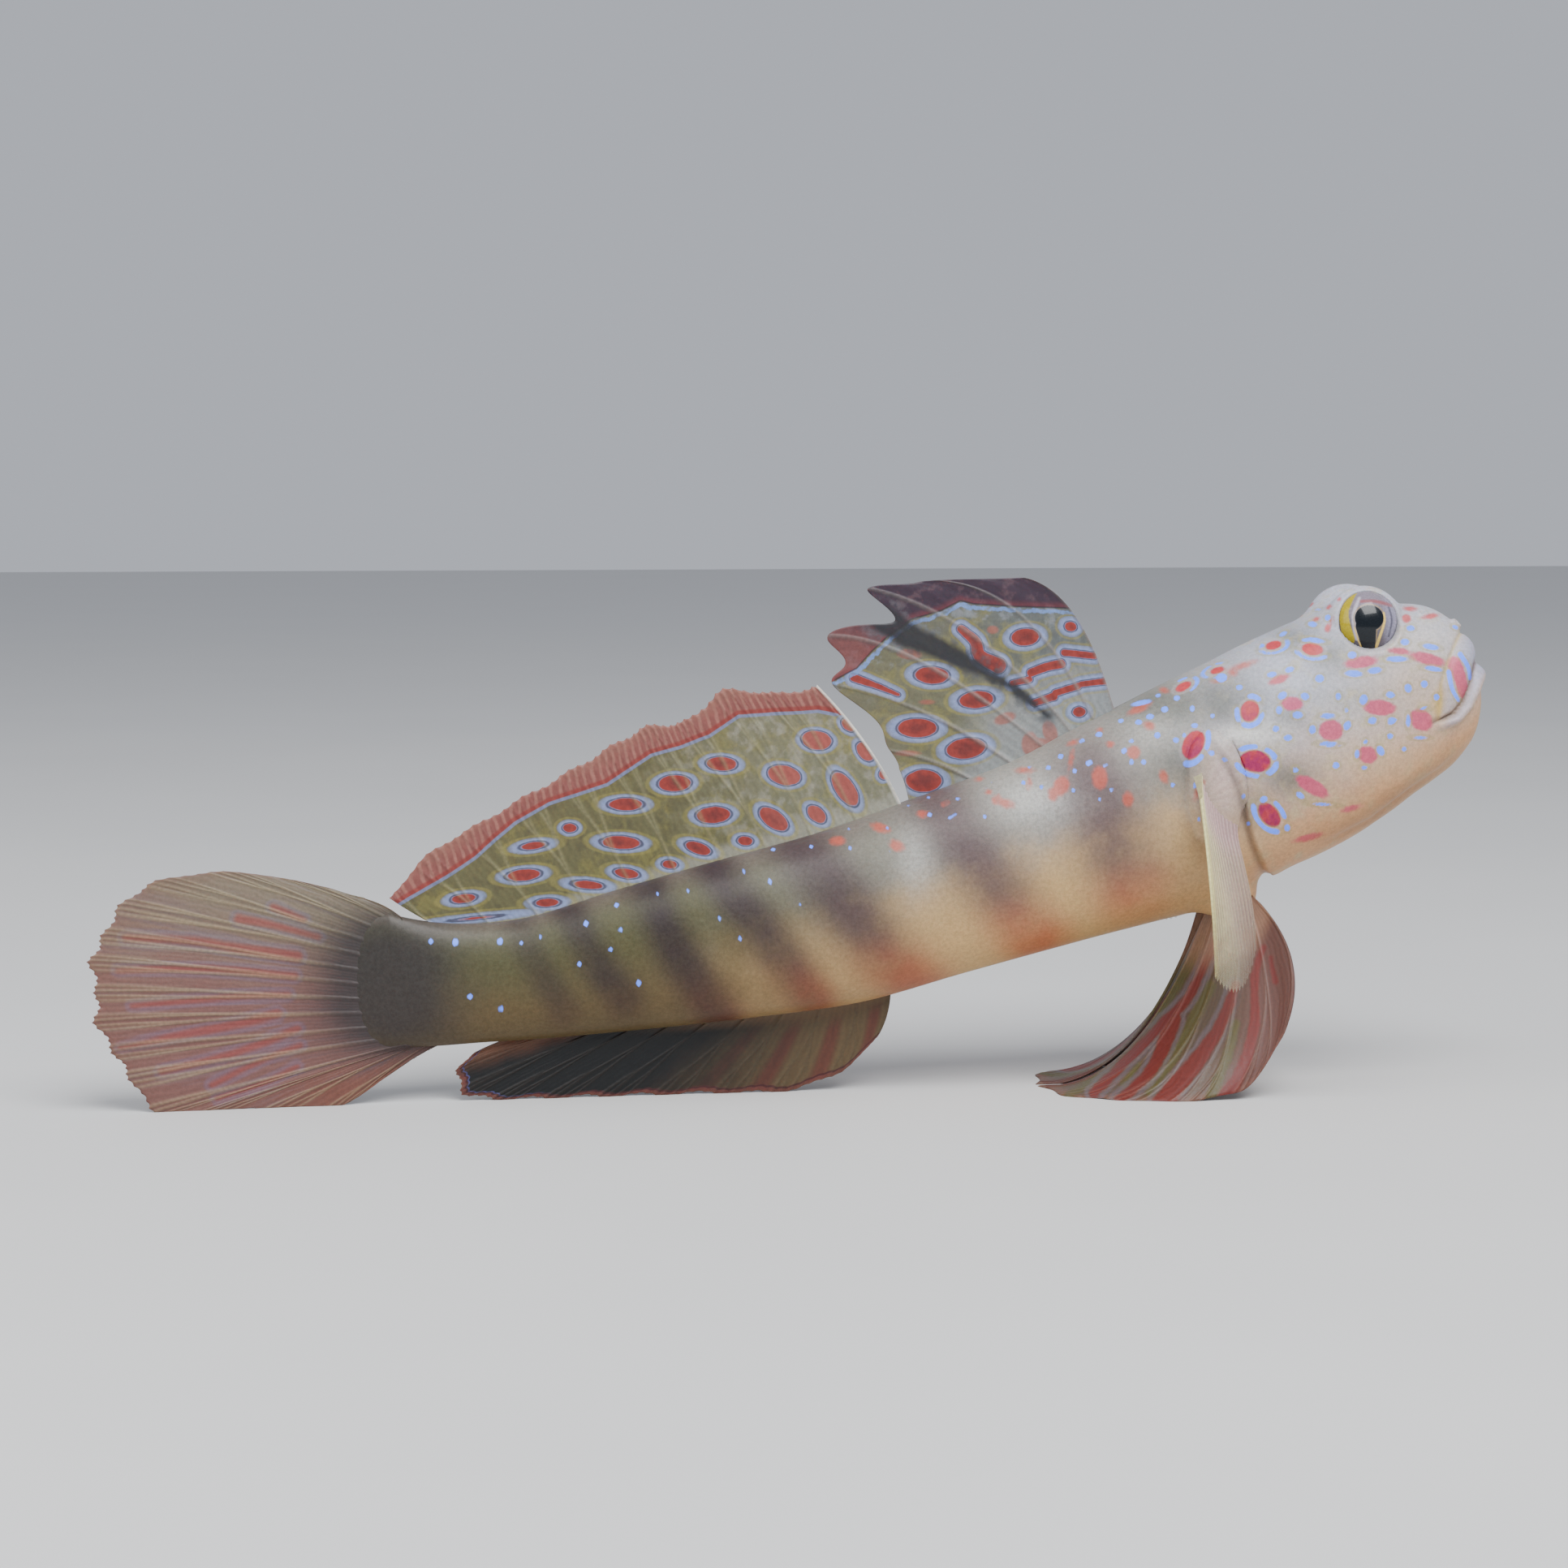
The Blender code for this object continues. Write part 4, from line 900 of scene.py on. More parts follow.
PECTORAL_FOOT = ((31.3, 27.3), (31.7, 25.4), (32.8, 23.6), (34.4, 22.2))
PECTORAL_TIPS = (
    (31.5, 13.2, 10.6), (32.5, 12.6, 9.6), (33.8, 11.6, 9.3), (35.0, 10.2, 10.2), (35.9, 8.9, 12.2),
)
PECTORAL_RAYS = 16
PECTORAL_SPREAD = (5.2, 3.0)
LEFT_PECTORAL_LIFT = 3.0
PAIRED_SINK = 0.5

PELVIC_FEET = ((37.6, 2.3), (37.1, 2.3), (36.4, 2.1), (35.6, 1.8), (34.8, 1.4), (34.0, 0.9))
PELVIC_BENDS = (
    (41.1, 8.7, 11.3), (38.9, 8.2, 6.0), (35.2, 7.6, 3.0), (32.2, 6.2, 1.2), (29.8, 3.6, 0.1),
    (28.6, 0.5, -0.6),
)
PELVIC_TIPS = (
    (38.4, 8.8, 5.2), (35.2, 9.1, 0.9), (29.9, 9.3, -0.1), (24.9, 8.1, 0.0), (20.8, 5.4, 0.0),
    (19.7, 0.4, 0.0),
)


def skin_at(skin, seen, wanted, side, axis):
    """The skin's outermost coordinate along axis where its other two come nearest to wanted."""
    flat = skin.reshape(-1, 3)
    flat = flat[flat[:, 1] * side > 0]
    away = np.hypot(flat[:, seen[0]] - wanted[0], flat[:, seen[1]] - wanted[1])
    close = flat[away < away.min() + 0.25, axis]
    return close[np.argmax(np.abs(close))] if axis == 1 else close.min()


# Markings of the fins, in photo pixels.
FIRST_DORSAL_SPOTS = (
    (1148, 832, 43, 22, 3), (1203, 862, 44, 22, -5), (1130, 897, 50, 24), (1190, 922, 50, 26, -8),
    (1138, 962, 46, 28), (1263, 785, 36, 22, -5), (1319, 772, 16, 13, 10), (1329, 877, 17, 13, -5),
)
FIRST_DORSAL_FAINT = (
    (1238, 885, 28, 14, -20), (1120, 806, 30, 13, 5), (1268, 916, 20, 30, 5), (1293, 902, 18, 30, -15),
    (1282, 916, 28, 14), (1223, 776, 14, 10), (1066, 926, 26, 20, 30), (1095, 953, 16, 20, 30),
    (1045, 893, 20, 14, 40), (1142, 865, 18, 6), (1118, 928, 30, 7),
)
FIRST_DORSAL_BARS = (
    (((1311, 804), (1330, 806), (1348, 808)), 9, 9), (((1307, 818), (1288, 822), (1270, 829)), 12, 11),
    (((1268, 837), (1247, 842)), 9, 8), (((1363, 839), (1332, 843)), 9, 8),
    (((1328, 845), (1300, 854)), 9, 9), (((1298, 858), (1274, 866)), 11, 9),
    (((1184, 775), (1202, 791), (1207, 808), (1230, 820)), 11, 20),
    (((1052, 835), (1080, 845), (1107, 856)), 11, 5),
)
FIRST_DORSAL_STREAK = (
    ((1088, 762), (1120, 784), (1150, 797), (1203, 821), (1241, 843), (1265, 861), (1289, 881)), 32, 5,
)
FIRST_DORSAL_LINE = (
    (1335, 753), (1312, 750), (1250, 748), (1200, 745), (1183, 741), (1160, 753), (1123, 764),
    (1095, 784), (1076, 802), (1056, 824), (1030, 838),
)
SECOND_DORSAL_SPOTS = (
    (1006, 912, 38, 24, 8), (966, 955, 42, 25, 12), (1041, 972, 50, 24, 55), (889, 941, 39, 18, 3),
    (831, 965, 42, 21, -3), (879, 1004, 44, 21, -3), (953, 1009, 42, 22, 35), (771, 991, 44, 16),
    (1006, 1003, 28, 18, 40), (765, 1038, 50, 17, 3), (860, 1045, 34, 15, 18), (918, 1036, 20, 12, 5),
    (702, 1020, 18, 12), (657, 1042, 33, 10, -8), (645, 1078, 44, 15, -6), (825, 1065, 20, 11, 5),
    (772, 1076, 32, 13, 8), (724, 1090, 40, 11, 5), (571, 1107, 32, 12, -8), (674, 1112, 32, 11, -3),
    (587, 1131, 52, 4, -6), (1066, 926, 28, 18, 50), (1045, 893, 20, 14, 45), (1090, 953, 14, 16, 50),
)
SECOND_DORSAL_LINE = (
    (1030, 880), (1008, 876), (952, 879), (910, 882), (874, 906), (838, 920), (802, 930), (748, 966),
    (712, 978), (676, 990), (634, 1014), (610, 1034), (586, 1056), (550, 1080), (508, 1104),
    (478, 1122),
)
CAUDAL_STREAKS = (
    (((294, 1132), (340, 1141), (392, 1155)), 10, 5),
    (((155, 1155), (235, 1159), (294, 1168), (366, 1178)), 7, 12),
    (((145, 1196), (254, 1194), (363, 1202)), 6, 9), (((163, 1240), (272, 1229), (355, 1225)), 5, 6),
    (((148, 1291), (235, 1273), (294, 1261), (341, 1250)), 5, 11),
    (((199, 1320), (290, 1297), (366, 1268)), 5, 8), (((261, 1337), (323, 1306), (370, 1288)), 5, 4),
    (((268, 1354), (323, 1335), (366, 1314)), 5, 4), (((337, 1118), (374, 1134)), 7, 5),
)
PELVIC_REDS = (
    (((1497, 1160), (1468, 1225), (1435, 1260), (1396, 1300), (1348, 1347)), 11, 13),
    (((1446, 1255), (1432, 1295), (1412, 1328), (1377, 1357)), 20, 12),
    (((1523, 1214), (1507, 1257), (1481, 1300), (1448, 1340), (1430, 1362)), 11, 26),
    (((1557, 1168), (1546, 1205), (1546, 1264), (1530, 1318), (1505, 1358)), 8, 18),
    (((1566, 1180), (1572, 1210)), 6, 6),
)
PELVIC_OLIVES = (
    (((1481, 1160), (1448, 1218), (1416, 1264), (1377, 1312), (1315, 1352)), 15, 9),
    (((1492, 1215), (1468, 1264), (1446, 1303), (1418, 1345)), 14, 14),
    (((1523, 1262), (1510, 1309), (1492, 1350)), 11, 14), (((1403, 1312), (1385, 1338)), 7, 8),
)
PELVIC_EDGE = (((1470, 1165), (1422, 1228), (1390, 1281), (1341, 1327), (1290, 1340)), 7, 5)


# Materials.

class Socket:
    """One output in a material's node tree. Arithmetic on it adds Math nodes."""

    def __init__(self, paint, output):
        self.paint = paint
        self.output = output

    def operator(operation, swapped=False):
        def apply(self, other=0.0):
            first, second = (other, self) if swapped else (self, other)
            return self.paint.node("ShaderNodeMath", {"operation": operation}, {0: first, 1: second})
        return apply

    __add__, __radd__ = operator("ADD"), operator("ADD", True)
    __sub__, __rsub__ = operator("SUBTRACT"), operator("SUBTRACT", True)
    __mul__, __rmul__ = operator("MULTIPLY"), operator("MULTIPLY", True)
    sine, absolute, fraction = operator("SINE"), operator("ABSOLUTE"), operator("FRACT")

    def step(self, low, high, start=0.0, end=1.0):
        """start up to low, end from high on, and a smooth change between."""
        values = {"Value": self, "From Min": low, "From Max": high, "To Min": start, "To Max": end}
        return self.paint.node("ShaderNodeMapRange", {"interpolation_type": "SMOOTHSTEP"}, values)

    def band(self, centre, half, soft):
        """1 within half of centre, fading to 0 over soft."""
        return (self - centre).absolute().step(half, half + soft, 1.0, 0.0)


PAINT_DEPTH = 0.78


def srgb(red, green, blue, depth=PAINT_DEPTH):
    """A colour named by its 0 to 255 screen values, deepened, as the linear one that a shader takes."""
    screen = np.array((red, green, blue)) / 255
    linear = np.where(screen <= 0.04045, screen / 12.92, ((screen + 0.055) / 1.055) ** 2.4)
    return (*(linear * depth).tolist(), 1.0)


class Paint:
    """A material under construction, with its Principled shader's plain numbers. Its colour is that of
    the coats laid so far. A colour is a socket, what srgb() gives, or the three numbers it takes."""

    def __init__(self, name, **numbers):
        self.material = bpy.data.materials.new(name)
        self.material.use_nodes = True
        self.tree = self.material.node_tree
        self.shader = self.tree.nodes["Principled BSDF"]
        for label, number in numbers.items():
            self.shader.inputs[label.replace("_", " ")].default_value = number
        place = self.node("ShaderNodeTexCoord", {}, {}, "Object")
        self.place = self.node("ShaderNodeVectorMath", {"operation": "SCALE"}, {0: place, "Scale": 1 / MM})
        self.x = self.node("ShaderNodeSeparateXYZ", {}, {0: self.place}, "X")

    def node(self, kind, settings, values, output=0):
        """A new node with its settings, then values or links by input; returns one output."""
        made = self.tree.nodes.new(kind)
        for key, value in settings.items():
            setattr(made, key, value)
        for key, value in values.items():
            self.feed(made.inputs[key], value)
        return Socket(self, made.outputs[output])

    def feed(self, target, value):
        if isinstance(value, Socket):
            self.tree.links.new(value.output, target)
        elif isinstance(value, tuple) and len(value) == 3:
            target.default_value = srgb(*value)
        else:
            target.default_value = value

    def field(self, name):
        return self.node("ShaderNodeAttribute", {"attribute_name": name}, {}, "Fac")

    def fields(self, *names):
        return [self.field(name) for name in names]

    def noise(self, per_mm, detail=3.0, roughness=0.55, where=None):
        values = {"Vector": where or self.place, "Scale": per_mm, "Detail": detail, "Roughness": roughness}
        return self.node("ShaderNodeTexNoise", {}, values, "Fac")

    def cells(self, per_mm):
        return self.node("ShaderNodeTexVoronoi", {}, {"Vector": self.place, "Scale": per_mm}, "Distance")

    def joined(self, x, y, z):
        return self.node("ShaderNodeCombineXYZ", {}, {"X": x, "Y": y, "Z": z})

    def mix(self, first, second, share):
        return self.node("ShaderNodeMix", {"data_type": "RGBA"}, {0: share, 6: first, 7: second}, 2)

    def lay(self, coat, share):
        """Covers the coats so far with another, by its share."""
        self.colour = self.mix(self.colour, coat, share)

    def shade(self, factor):
        """Makes the coats so far lighter or darker by a number."""
        values = {0: 1.0, 6: self.colour, 7: self.joined(factor, factor, factor)}
        self.colour = self.node("ShaderNodeMix", {"data_type": "RGBA", "blend_type": "MULTIPLY"}, values, 2)

    def finish(self, roughness, height, depth_mm, strength):
        """Feeds the shader its colour, roughness and a bump of height, depth_mm deep."""
        values = {"Height": height, "Distance": depth_mm * MM, "Strength": strength}
        normal = self.node("ShaderNodeBump", {}, values)
        for label, value in (("Base Color", self.colour), ("Roughness", roughness), ("Normal", normal)):
            self.feed(self.shader.inputs[label], value)
        return self.material


CRIMSON = (166, 40, 92)
ROSE = (216, 70, 116)
CORAL = (214, 84, 60)
LIGHT_BLUE = srgb(92, 140, 255, 1.0)
BLUE_GLOW = srgb(84, 104, 255, 1.0)
DARK = (0, 0, 0)
HEAD_PALE = (192, 194, 208)
HEAD_PEACH = (222, 164, 112)
FLANK_PALE = (154, 150, 142)
# The belly's peach is partly its own tone and partly painted warm light reflected up from below.
BELLY_PEACH = (248, 202, 150)
REAR_OLIVE = (84, 82, 52)
REAR_BROWN = (104, 86, 54)
BAR_BROWN = (44, 30, 38)
BAR_RED = (64, 38, 38)
STALK_GREY = (52, 47, 48)


def skin_material():
    paint = Paint(
        "goby_skin", Subsurface_Weight=0.12, Subsurface_Scale=0.0012, Coat_Roughness=0.3, IOR=1.38,
        Specular_IOR_Level=0.35, Emission_Strength=0.55,
    )
    level, red, blue = paint.fields("level", "red", "blue")
    mottle = paint.noise(0.35, 4.0)
    grain = paint.noise(3.2, 3.0, 0.7)
    fine = paint.noise(9.0, 2.0, 0.7)
    waver = (mottle - 0.5) * 1.2

    rear = (paint.x + waver * 8).step(22, -14)
    head = (paint.x + waver * 4).step(28, 40)
    upper = paint.mix(paint.mix(FLANK_PALE, REAR_OLIVE, rear), HEAD_PALE, head)
    # Below: peach tones, on the belly partly painted warm light reflected up from below.
    lower = paint.mix(paint.mix(BELLY_PEACH, REAR_BROWN, rear), HEAD_PEACH, head)
    paint.colour = paint.mix(lower, upper, (level + waver * 0.35).step(-0.7, 0.5))
    tan = (level + waver * 0.4).step(0.35, -0.25) * (1 - head) * (1 - rear)
    paint.lay((206, 168, 96), tan * 0.6)
    ridge_top = level.step(0.7, 1.0) * (1 - head)
    paint.lay((120, 106, 106), ridge_top * paint.x.step(16, 0) * 0.5)
    # Painted shade: grey clouds behind and under the eye, above the gill cover and by the pectoral base.
    painted_shade = paint.field("painted_shade") * mottle.step(0.2, 0.7, 0.7, 1.2)
    paint.lay((92, 96, 88), painted_shade)
    paint.lay((226, 226, 222), paint.field("pale") * grain.step(0.2, 0.6, 0.7, 1.0))
    paint.lay((226, 192, 146), paint.field("warm") * 0.9)
    yellows = paint.noise(0.55, 3.0).step(0.5, 0.75) * head
    paint.lay((204, 190, 146), yellows * 0.5)

    bar = paint.field("bar") * mottle.step(0.2, 0.6, 0.7, 1.0)
    low_bar = level.step(-0.1, -0.8)
    bar_high = paint.mix((98, 76, 80), BAR_BROWN, rear)
    bar_low = paint.mix((200, 104, 70), BAR_RED, rear)
    bar_colour = paint.mix(bar_high, bar_low, low_bar)
    paint.lay(bar_colour, bar * 0.88)
    blotch = paint.field("blotch") + (mottle - 0.5) * 0.3
    paint.lay(STALK_GREY, blotch.step(0.0, 0.9) * 0.9)
    lobe = paint.field("lobe")
    strands = (paint.field("fan") * 22 + grain * 5).sine()
    lobe_colour = paint.mix((206, 178, 174), (218, 194, 188), strands * 0.5 + 0.5)
    paint.lay(lobe_colour, lobe * 0.7)

    edge_noise = (paint.noise(2.4, 2.0) - 0.5) * 0.22
    nape = (paint.field("nape") + edge_noise).step(-0.16, 0.2)
    paint.lay(CORAL, nape * 0.65)
    rose = (paint.field("rose") + edge_noise).step(-0.1, 0.14)
    rose_tone = paint.mix(ROSE, (214, 84, 70), level.absolute().step(0.45, 0.8) * 0.75)
    paint.lay(rose_tone, rose * 0.85)
    red_tone = paint.mix(CRIMSON, (196, 58, 76), paint.noise(1.3, 3.0).step(0.4, 0.65))
    red_tone = paint.mix(red_tone, (216, 76, 70), level.step(0.3, 0.75) * 0.7)
    paint.lay((226, 206, 208), red.band(-0.1, 0.04, 0.12) * 0.2)
    paint.lay(red_tone, (red + edge_noise * 0.4).step(-0.05, 0.09))
    paint.lay((214, 176, 88), paint.field("corner") * 0.75)
    lip = paint.field("lip")
    paint.lay((172, 178, 208), lip * (1 - rose) * 0.6)
    paint.lay((210, 182, 112), paint.field("crease") * 0.55)
    blue_edge = paint.noise(3.0, 2.0) * 0.08 - 0.04
    paint.lay((168, 160, 104), (blue + blue_edge).band(-0.11, 0.03, 0.09) * head * 0.35)
    paint.lay(LIGHT_BLUE, (blue + blue_edge).step(-0.05, 0.05))
    # A dark line along the mouth: painted shade in the slit between the lips.
    paint.lay((92, 58, 56), paint.field("mouth") * 0.75)
    # A dark line behind the gill cover's edge: painted shade in the groove under it.
    paint.lay((110, 90, 84), paint.field("gill") * 0.5)
    # Brown along the jaw fold: painted shade in its crease and under the cheek's lower edge.
    paint.lay((168, 120, 80), paint.field("fold") * 0.55)
    shade = grain.step(0.25, 0.75, 0.84, 1.1) * fine.step(0.2, 0.8, 0.92, 1.06)
    paint.shade(shade)

    scale_rows = paint.cells(2.4)
    scaly = paint.x.step(34, 20)
    height = scale_rows * scaly * 0.5 + grain * 0.35 + fine * 0.25
    paint.feed(paint.shader.inputs["Coat Weight"], grain.step(0.2, 0.8, 0.1, 0.3))
    # Painted light: the blue marks glow by emission, standing in for the shine of their iridescence.
    paint.feed(paint.shader.inputs["Emission Color"], paint.mix(DARK, BLUE_GLOW, blue.step(-0.05, 0.1)))
    return paint.finish(grain.step(0.2, 0.8, 0.42, 0.6), height, 0.06, 0.55)


def fin_paint(name):
    return Paint(
        name, Subsurface_Weight=0.1, Subsurface_Scale=0.0008, Coat_Weight=0.08, Coat_Roughness=0.25,
        Specular_IOR_Level=0.35,
    )


def fin_finish(paint, ridge, ray, joints, strands=6):
    """The last coats that every fin shares: jointed rays, fine strands between them, grain and relief."""
    grain = paint.noise(4.0, 3.0, 0.7)
    strand = ((ray * strands + paint.noise(0.6, 2.0) * 1.5) * 2 * math.pi).sine()
    segments = (joints * 2 * math.pi).sine()
    paint.shade(grain.step(0.2, 0.8, 0.84, 1.12))
    paint.shade(1 + segments * ridge * 0.05 + strand * 0.06)
    height = ridge * 0.7 + segments * ridge * 0.12 + grain * 0.35 + strand * 0.12
    return paint.finish(grain.step(0.2, 0.8, 0.4, 0.6), height, 0.05, 0.6)


def ocelli(paint, spot, ring_width, pale=0.0):
    """Red spots with a dark rim and a grey-blue ring, from the signed distance spot. Pale ones lack the
    dark core."""
    waver = spot + (paint.noise(1.6, 2.0) - 0.5) * 0.1
    ring = paint.mix((120, 130, 154), (138, 156, 204), waver.step(-ring_width, -ring_width * 0.4))
    paint.lay((150, 142, 76), waver.band(-ring_width - 0.1, 0.03, 0.12) * 0.4)
    paint.lay(ring, waver.step(-ring_width - 0.04, -ring_width + 0.06) * 0.8)
    core = paint.mix((150, 54, 46), (112, 44, 42), (spot + paint.noise(1.6, 3.0) * 1.2).step(0.6, 1.3))
    core = paint.mix(core, (164, 86, 78), pale)
    paint.lay((40, 26, 34), waver.band(-0.03, 0.015, 0.06) * 0.75)
    paint.lay(core, waver.step(0.0, 0.07))


def first_dorsal_material():
    paint = fin_paint("goby_dorsal_first")
    v, ray, ridge, line = paint.fields("v", "ray", "ridge", "line")
    cloud = paint.noise(0.5, 4.0)
    patches = paint.noise(0.8, 3.0)
    field = paint.mix((102, 102, 80), (94, 100, 98), (ray + cloud * 1.5).step(3.6, 1.6))
    field = paint.mix(field, (132, 128, 64), cloud.step(0.48, 0.66) * 0.4)
    field = paint.mix(field, (140, 148, 156), patches.step(0.52, 0.68) * line.step(-3.4, -1.0) * 0.55)
    paint.colour = paint.mix(field, (146, 150, 152), v.step(0.36, 0.12) * 0.8)
    margin = paint.mix((52, 38, 54), (116, 70, 68), (ray + cloud).step(2.6, 4.0))
    margin = paint.mix(margin, (118, 54, 60), line.step(0.7, 0.15) * 0.5)
    margin = paint.mix(margin, (120, 92, 96), patches.step(0.5, 0.7) * 0.35)
    paint.lay((160, 92, 80), paint.field("faint").step(-0.1, 0.12) * 0.75)
    ocelli(paint, paint.field("spot"), 0.44)
    paint.lay(margin, line.step(0.0, 0.12))
    ragged = line + (paint.noise(1.4, 3.0) - 0.5) * 0.6
    broken = patches.step(0.36, 0.5, 0.3, 1.0)
    paint.lay((112, 142, 196), ragged.band(-0.26, 0.11, 0.1) * broken)
    paint.lay((26, 22, 34), line.band(0.06, 0.03, 0.08) * 0.7)
    streak = paint.field("streak") + (cloud - 0.5) * 0.9 + (patches - 0.5) * 0.6
    paint.lay((84, 88, 94), streak.step(-1.3, -0.2) * patches.step(0.42, 0.6) * 0.6)
    paint.lay((34, 36, 42), streak.step(-0.4, 0.3) * 0.94)
    paint.lay((150, 142, 136), ridge * v.step(0.15, 0.95, 0.5, 0.25))
    return fin_finish(paint, ridge, ray, v * 30, 4)


def second_dorsal_material():
    paint = fin_paint("goby_dorsal_second")
    v, ray, ridge, line = paint.fields("v", "ray", "ridge", "line")
    cloud = paint.noise(0.5, 4.0)
    patches = paint.noise(0.8, 3.0)
    wave = (cloud - 0.5) * 0.9
    paint.colour = paint.mix((116, 116, 92), (94, 92, 60), (ray + wave * 3).step(1.0, 5.0))
    paint.lay((130, 124, 62), cloud.step(0.48, 0.66) * 0.4)
    # Pale mottles towards the front: painted silvery sheen.
    sheen_mottles = patches.step(0.46, 0.66) * ray.step(5.5, 2.0)
    paint.lay((152, 150, 136), sheen_mottles * 0.6)
    paint.lay((66, 62, 46), patches.step(0.5, 0.36) * ray.step(2.0, 5.0) * 0.35)
    paint.lay((156, 154, 142), (v + wave * 0.05).step(0.18, 0.1) * 0.6)
    ocelli(paint, paint.field("spot"), 0.32, ray.step(3.2, 1.8) * 0.8)
    slant = ((ray * 6 + line * 0.5 + wave) * 2 * math.pi).sine()
    pinks = paint.mix((132, 76, 70), (160, 108, 96), slant.step(-0.2, 1.0) * 0.8)
    pinks = paint.mix(pinks, (146, 100, 86), line.step(0.9, 2.2) * 0.6)
    pinks = paint.mix(pinks, (136, 44, 40), line.band(0.26, 0.08, 0.22) * 0.75)
    paint.lay((160, 152, 112), ridge * line.step(0.2, -0.6, 0.0, 0.3))
    paint.lay(pinks, (line + wave * 0.1).step(0.02, 0.12))
    paint.lay((118, 128, 166), (line + wave * 0.1).band(-0.04, 0.09, 0.08) * 0.85)
    paint.lay((226, 224, 214), ray.step(0.14, 0.04) * 0.9)
    return fin_finish(paint, ridge, ray, v * 24, 7)


def anal_material():
    paint = fin_paint("goby_anal")
    v, ray, ridge, edge = paint.fields("v", "ray", "ridge", "edge")
    cloud = paint.noise(0.45, 4.0)
    wave = (cloud - 0.5) * 1.2
    front = (ray + wave).step(5.0, 1.2)
    stripe = (ray.fraction() - 0.5).absolute().step(0.26, 0.06) * v.step(0.12, 0.4)
    front_colour = paint.mix((92, 76, 50), (92, 42, 36), stripe * ray.step(4.6, 2.6, 0.3, 0.75))
    paint.colour = paint.mix((5, 8, 10), front_colour, front)
    paint.lay((104, 66, 44), (ray + wave * 0.4 - v * 0.9).step(7.6, 8.8) * 0.9)
    paint.lay((102, 54, 48), edge.step(0.75, 0.35) * 0.85)
    paint.lay((52, 14, 22), edge.band(0.5, 0.05, 0.1) * 0.8)
    paint.lay((66, 70, 122), edge.band(0.66, 0.03, 0.07) * ray.step(6.0, 7.5) * 0.8)
    paint.lay((120, 82, 62), edge.step(0.2, 0.05) * 0.6)
    paint.lay((80, 66, 54), ridge * 0.14)
    paint.lay((116, 90, 62), v.step(0.28, 0.12) * ray.step(7.5, 4.0) * 0.7)
    return fin_finish(paint, ridge, ray, v * 20)


def caudal_material():
    paint = fin_paint("goby_caudal")
    v, ray, ridge, edge = paint.fields("v", "ray", "ridge", "edge")
    wave = (paint.noise(0.3, 4.0) - 0.5) * 1.0
    paint.colour = paint.mix((118, 82, 76), (122, 112, 94), (ray + wave * 3).step(8.0, 1.0))
    paint.lay((112, 66, 50), (ray + wave * 3).step(10.0, 15.0) * 0.75)
    along_rays = paint.noise(1.0, 3.0, 0.6, paint.joined(ray * 2.4, v * 1.6, 0.0))
    paint.lay((112, 96, 104), along_rays.step(0.5, 0.7) * 0.4)
    streak = paint.field("streak") + (along_rays - 0.5) * 0.7
    paint.lay((116, 112, 150), streak.band(-0.25, 0.06, 0.3) * 0.2)
    paint.lay((142, 64, 62), streak.step(-0.3, 0.25) * 0.7)
    paint.lay((96, 44, 44), edge.step(0.45, 0.08) * ray.step(6.0, 1.0) * 0.6)
    pale_rays = ridge * v.step(0.1, 0.4, 0.1, 0.34) * along_rays.step(0.3, 0.6, 0.5, 1.0)
    paint.lay((196, 178, 136), pale_rays)
    paint.lay((112, 80, 66), v.step(0.8, 1.0) * 0.3)
    base = paint.field("blotch") + (along_rays - 0.5) * 0.3
    paint.lay(STALK_GREY, base.step(0.0, 0.7) * 0.92)
    return fin_finish(paint, ridge, ray, v * 46, 5)


def pectoral_material(name):
    paint = fin_paint(name)
    v, ray, ridge = paint.fields("v", "ray", "ridge")
    cloud = paint.noise(0.6, 3.0)
    paint.colour = paint.mix((196, 178, 140), (176, 148, 140), (ray + cloud * 3).step(5, 11))
    paint.lay((150, 136, 132), v.step(0.55, 1.0) * 0.7)
    paint.lay((238, 230, 186), ridge * ray.step(14, 2, 0.3, 0.85))
    paint.lay((240, 228, 150), ray.step(2.2, 0.2) * v.step(0.0, 0.2) * 0.7)
    paint.lay((206, 170, 172), v.step(0.3, 0.08) * ray.step(1.0, 3.0) * 0.85)
    solid = (v + cloud * 0.3).step(1.1, 0.65, 0.1, 1.0) * ray.step(15, 6, 0.7, 1.0)
    paint.feed(paint.shader.inputs["Alpha"], ridge * 0.15 + solid * 0.85)
    return fin_finish(paint, ridge, ray, v * 34, 3)


def pelvic_material(name):
    paint = fin_paint(name)
    v, ray, ridge, edge = paint.fields("v", "ray", "ridge", "edge")
    wobble = (paint.noise(0.8, 3.0) - 0.5) * 0.4
    red, olive = paint.field("red") + wobble, paint.field("olive") + wobble
    paint.colour = paint.mix((82, 64, 46), (96, 62, 54), (ray + wobble).step(2.4, 1.0))
    paint.lay((128, 82, 66), edge.step(1.6, 0.2) * 0.45)
    paint.lay((82, 76, 36), olive.step(-0.2, 0.2) * 0.9)
    paint.lay((110, 34, 30), red.step(-0.14, 0.16) * 0.9)
    seam = red.band(-0.2, 0.02, 0.3) * ray.step(1.4, 2.6)
    paint.lay((112, 100, 112), seam * 0.45)
    paint.lay((80, 34, 26), paint.field("rear").step(-0.1, 0.1) * 0.85)
    paint.lay((150, 112, 88), v.step(0.22, 0.1) * 0.8)
    paint.lay((176, 140, 116), ridge * 0.08)
    return fin_finish(paint, ridge, ray, v * 30)


EYE_RINGS, EYE_AROUND = 96, 160
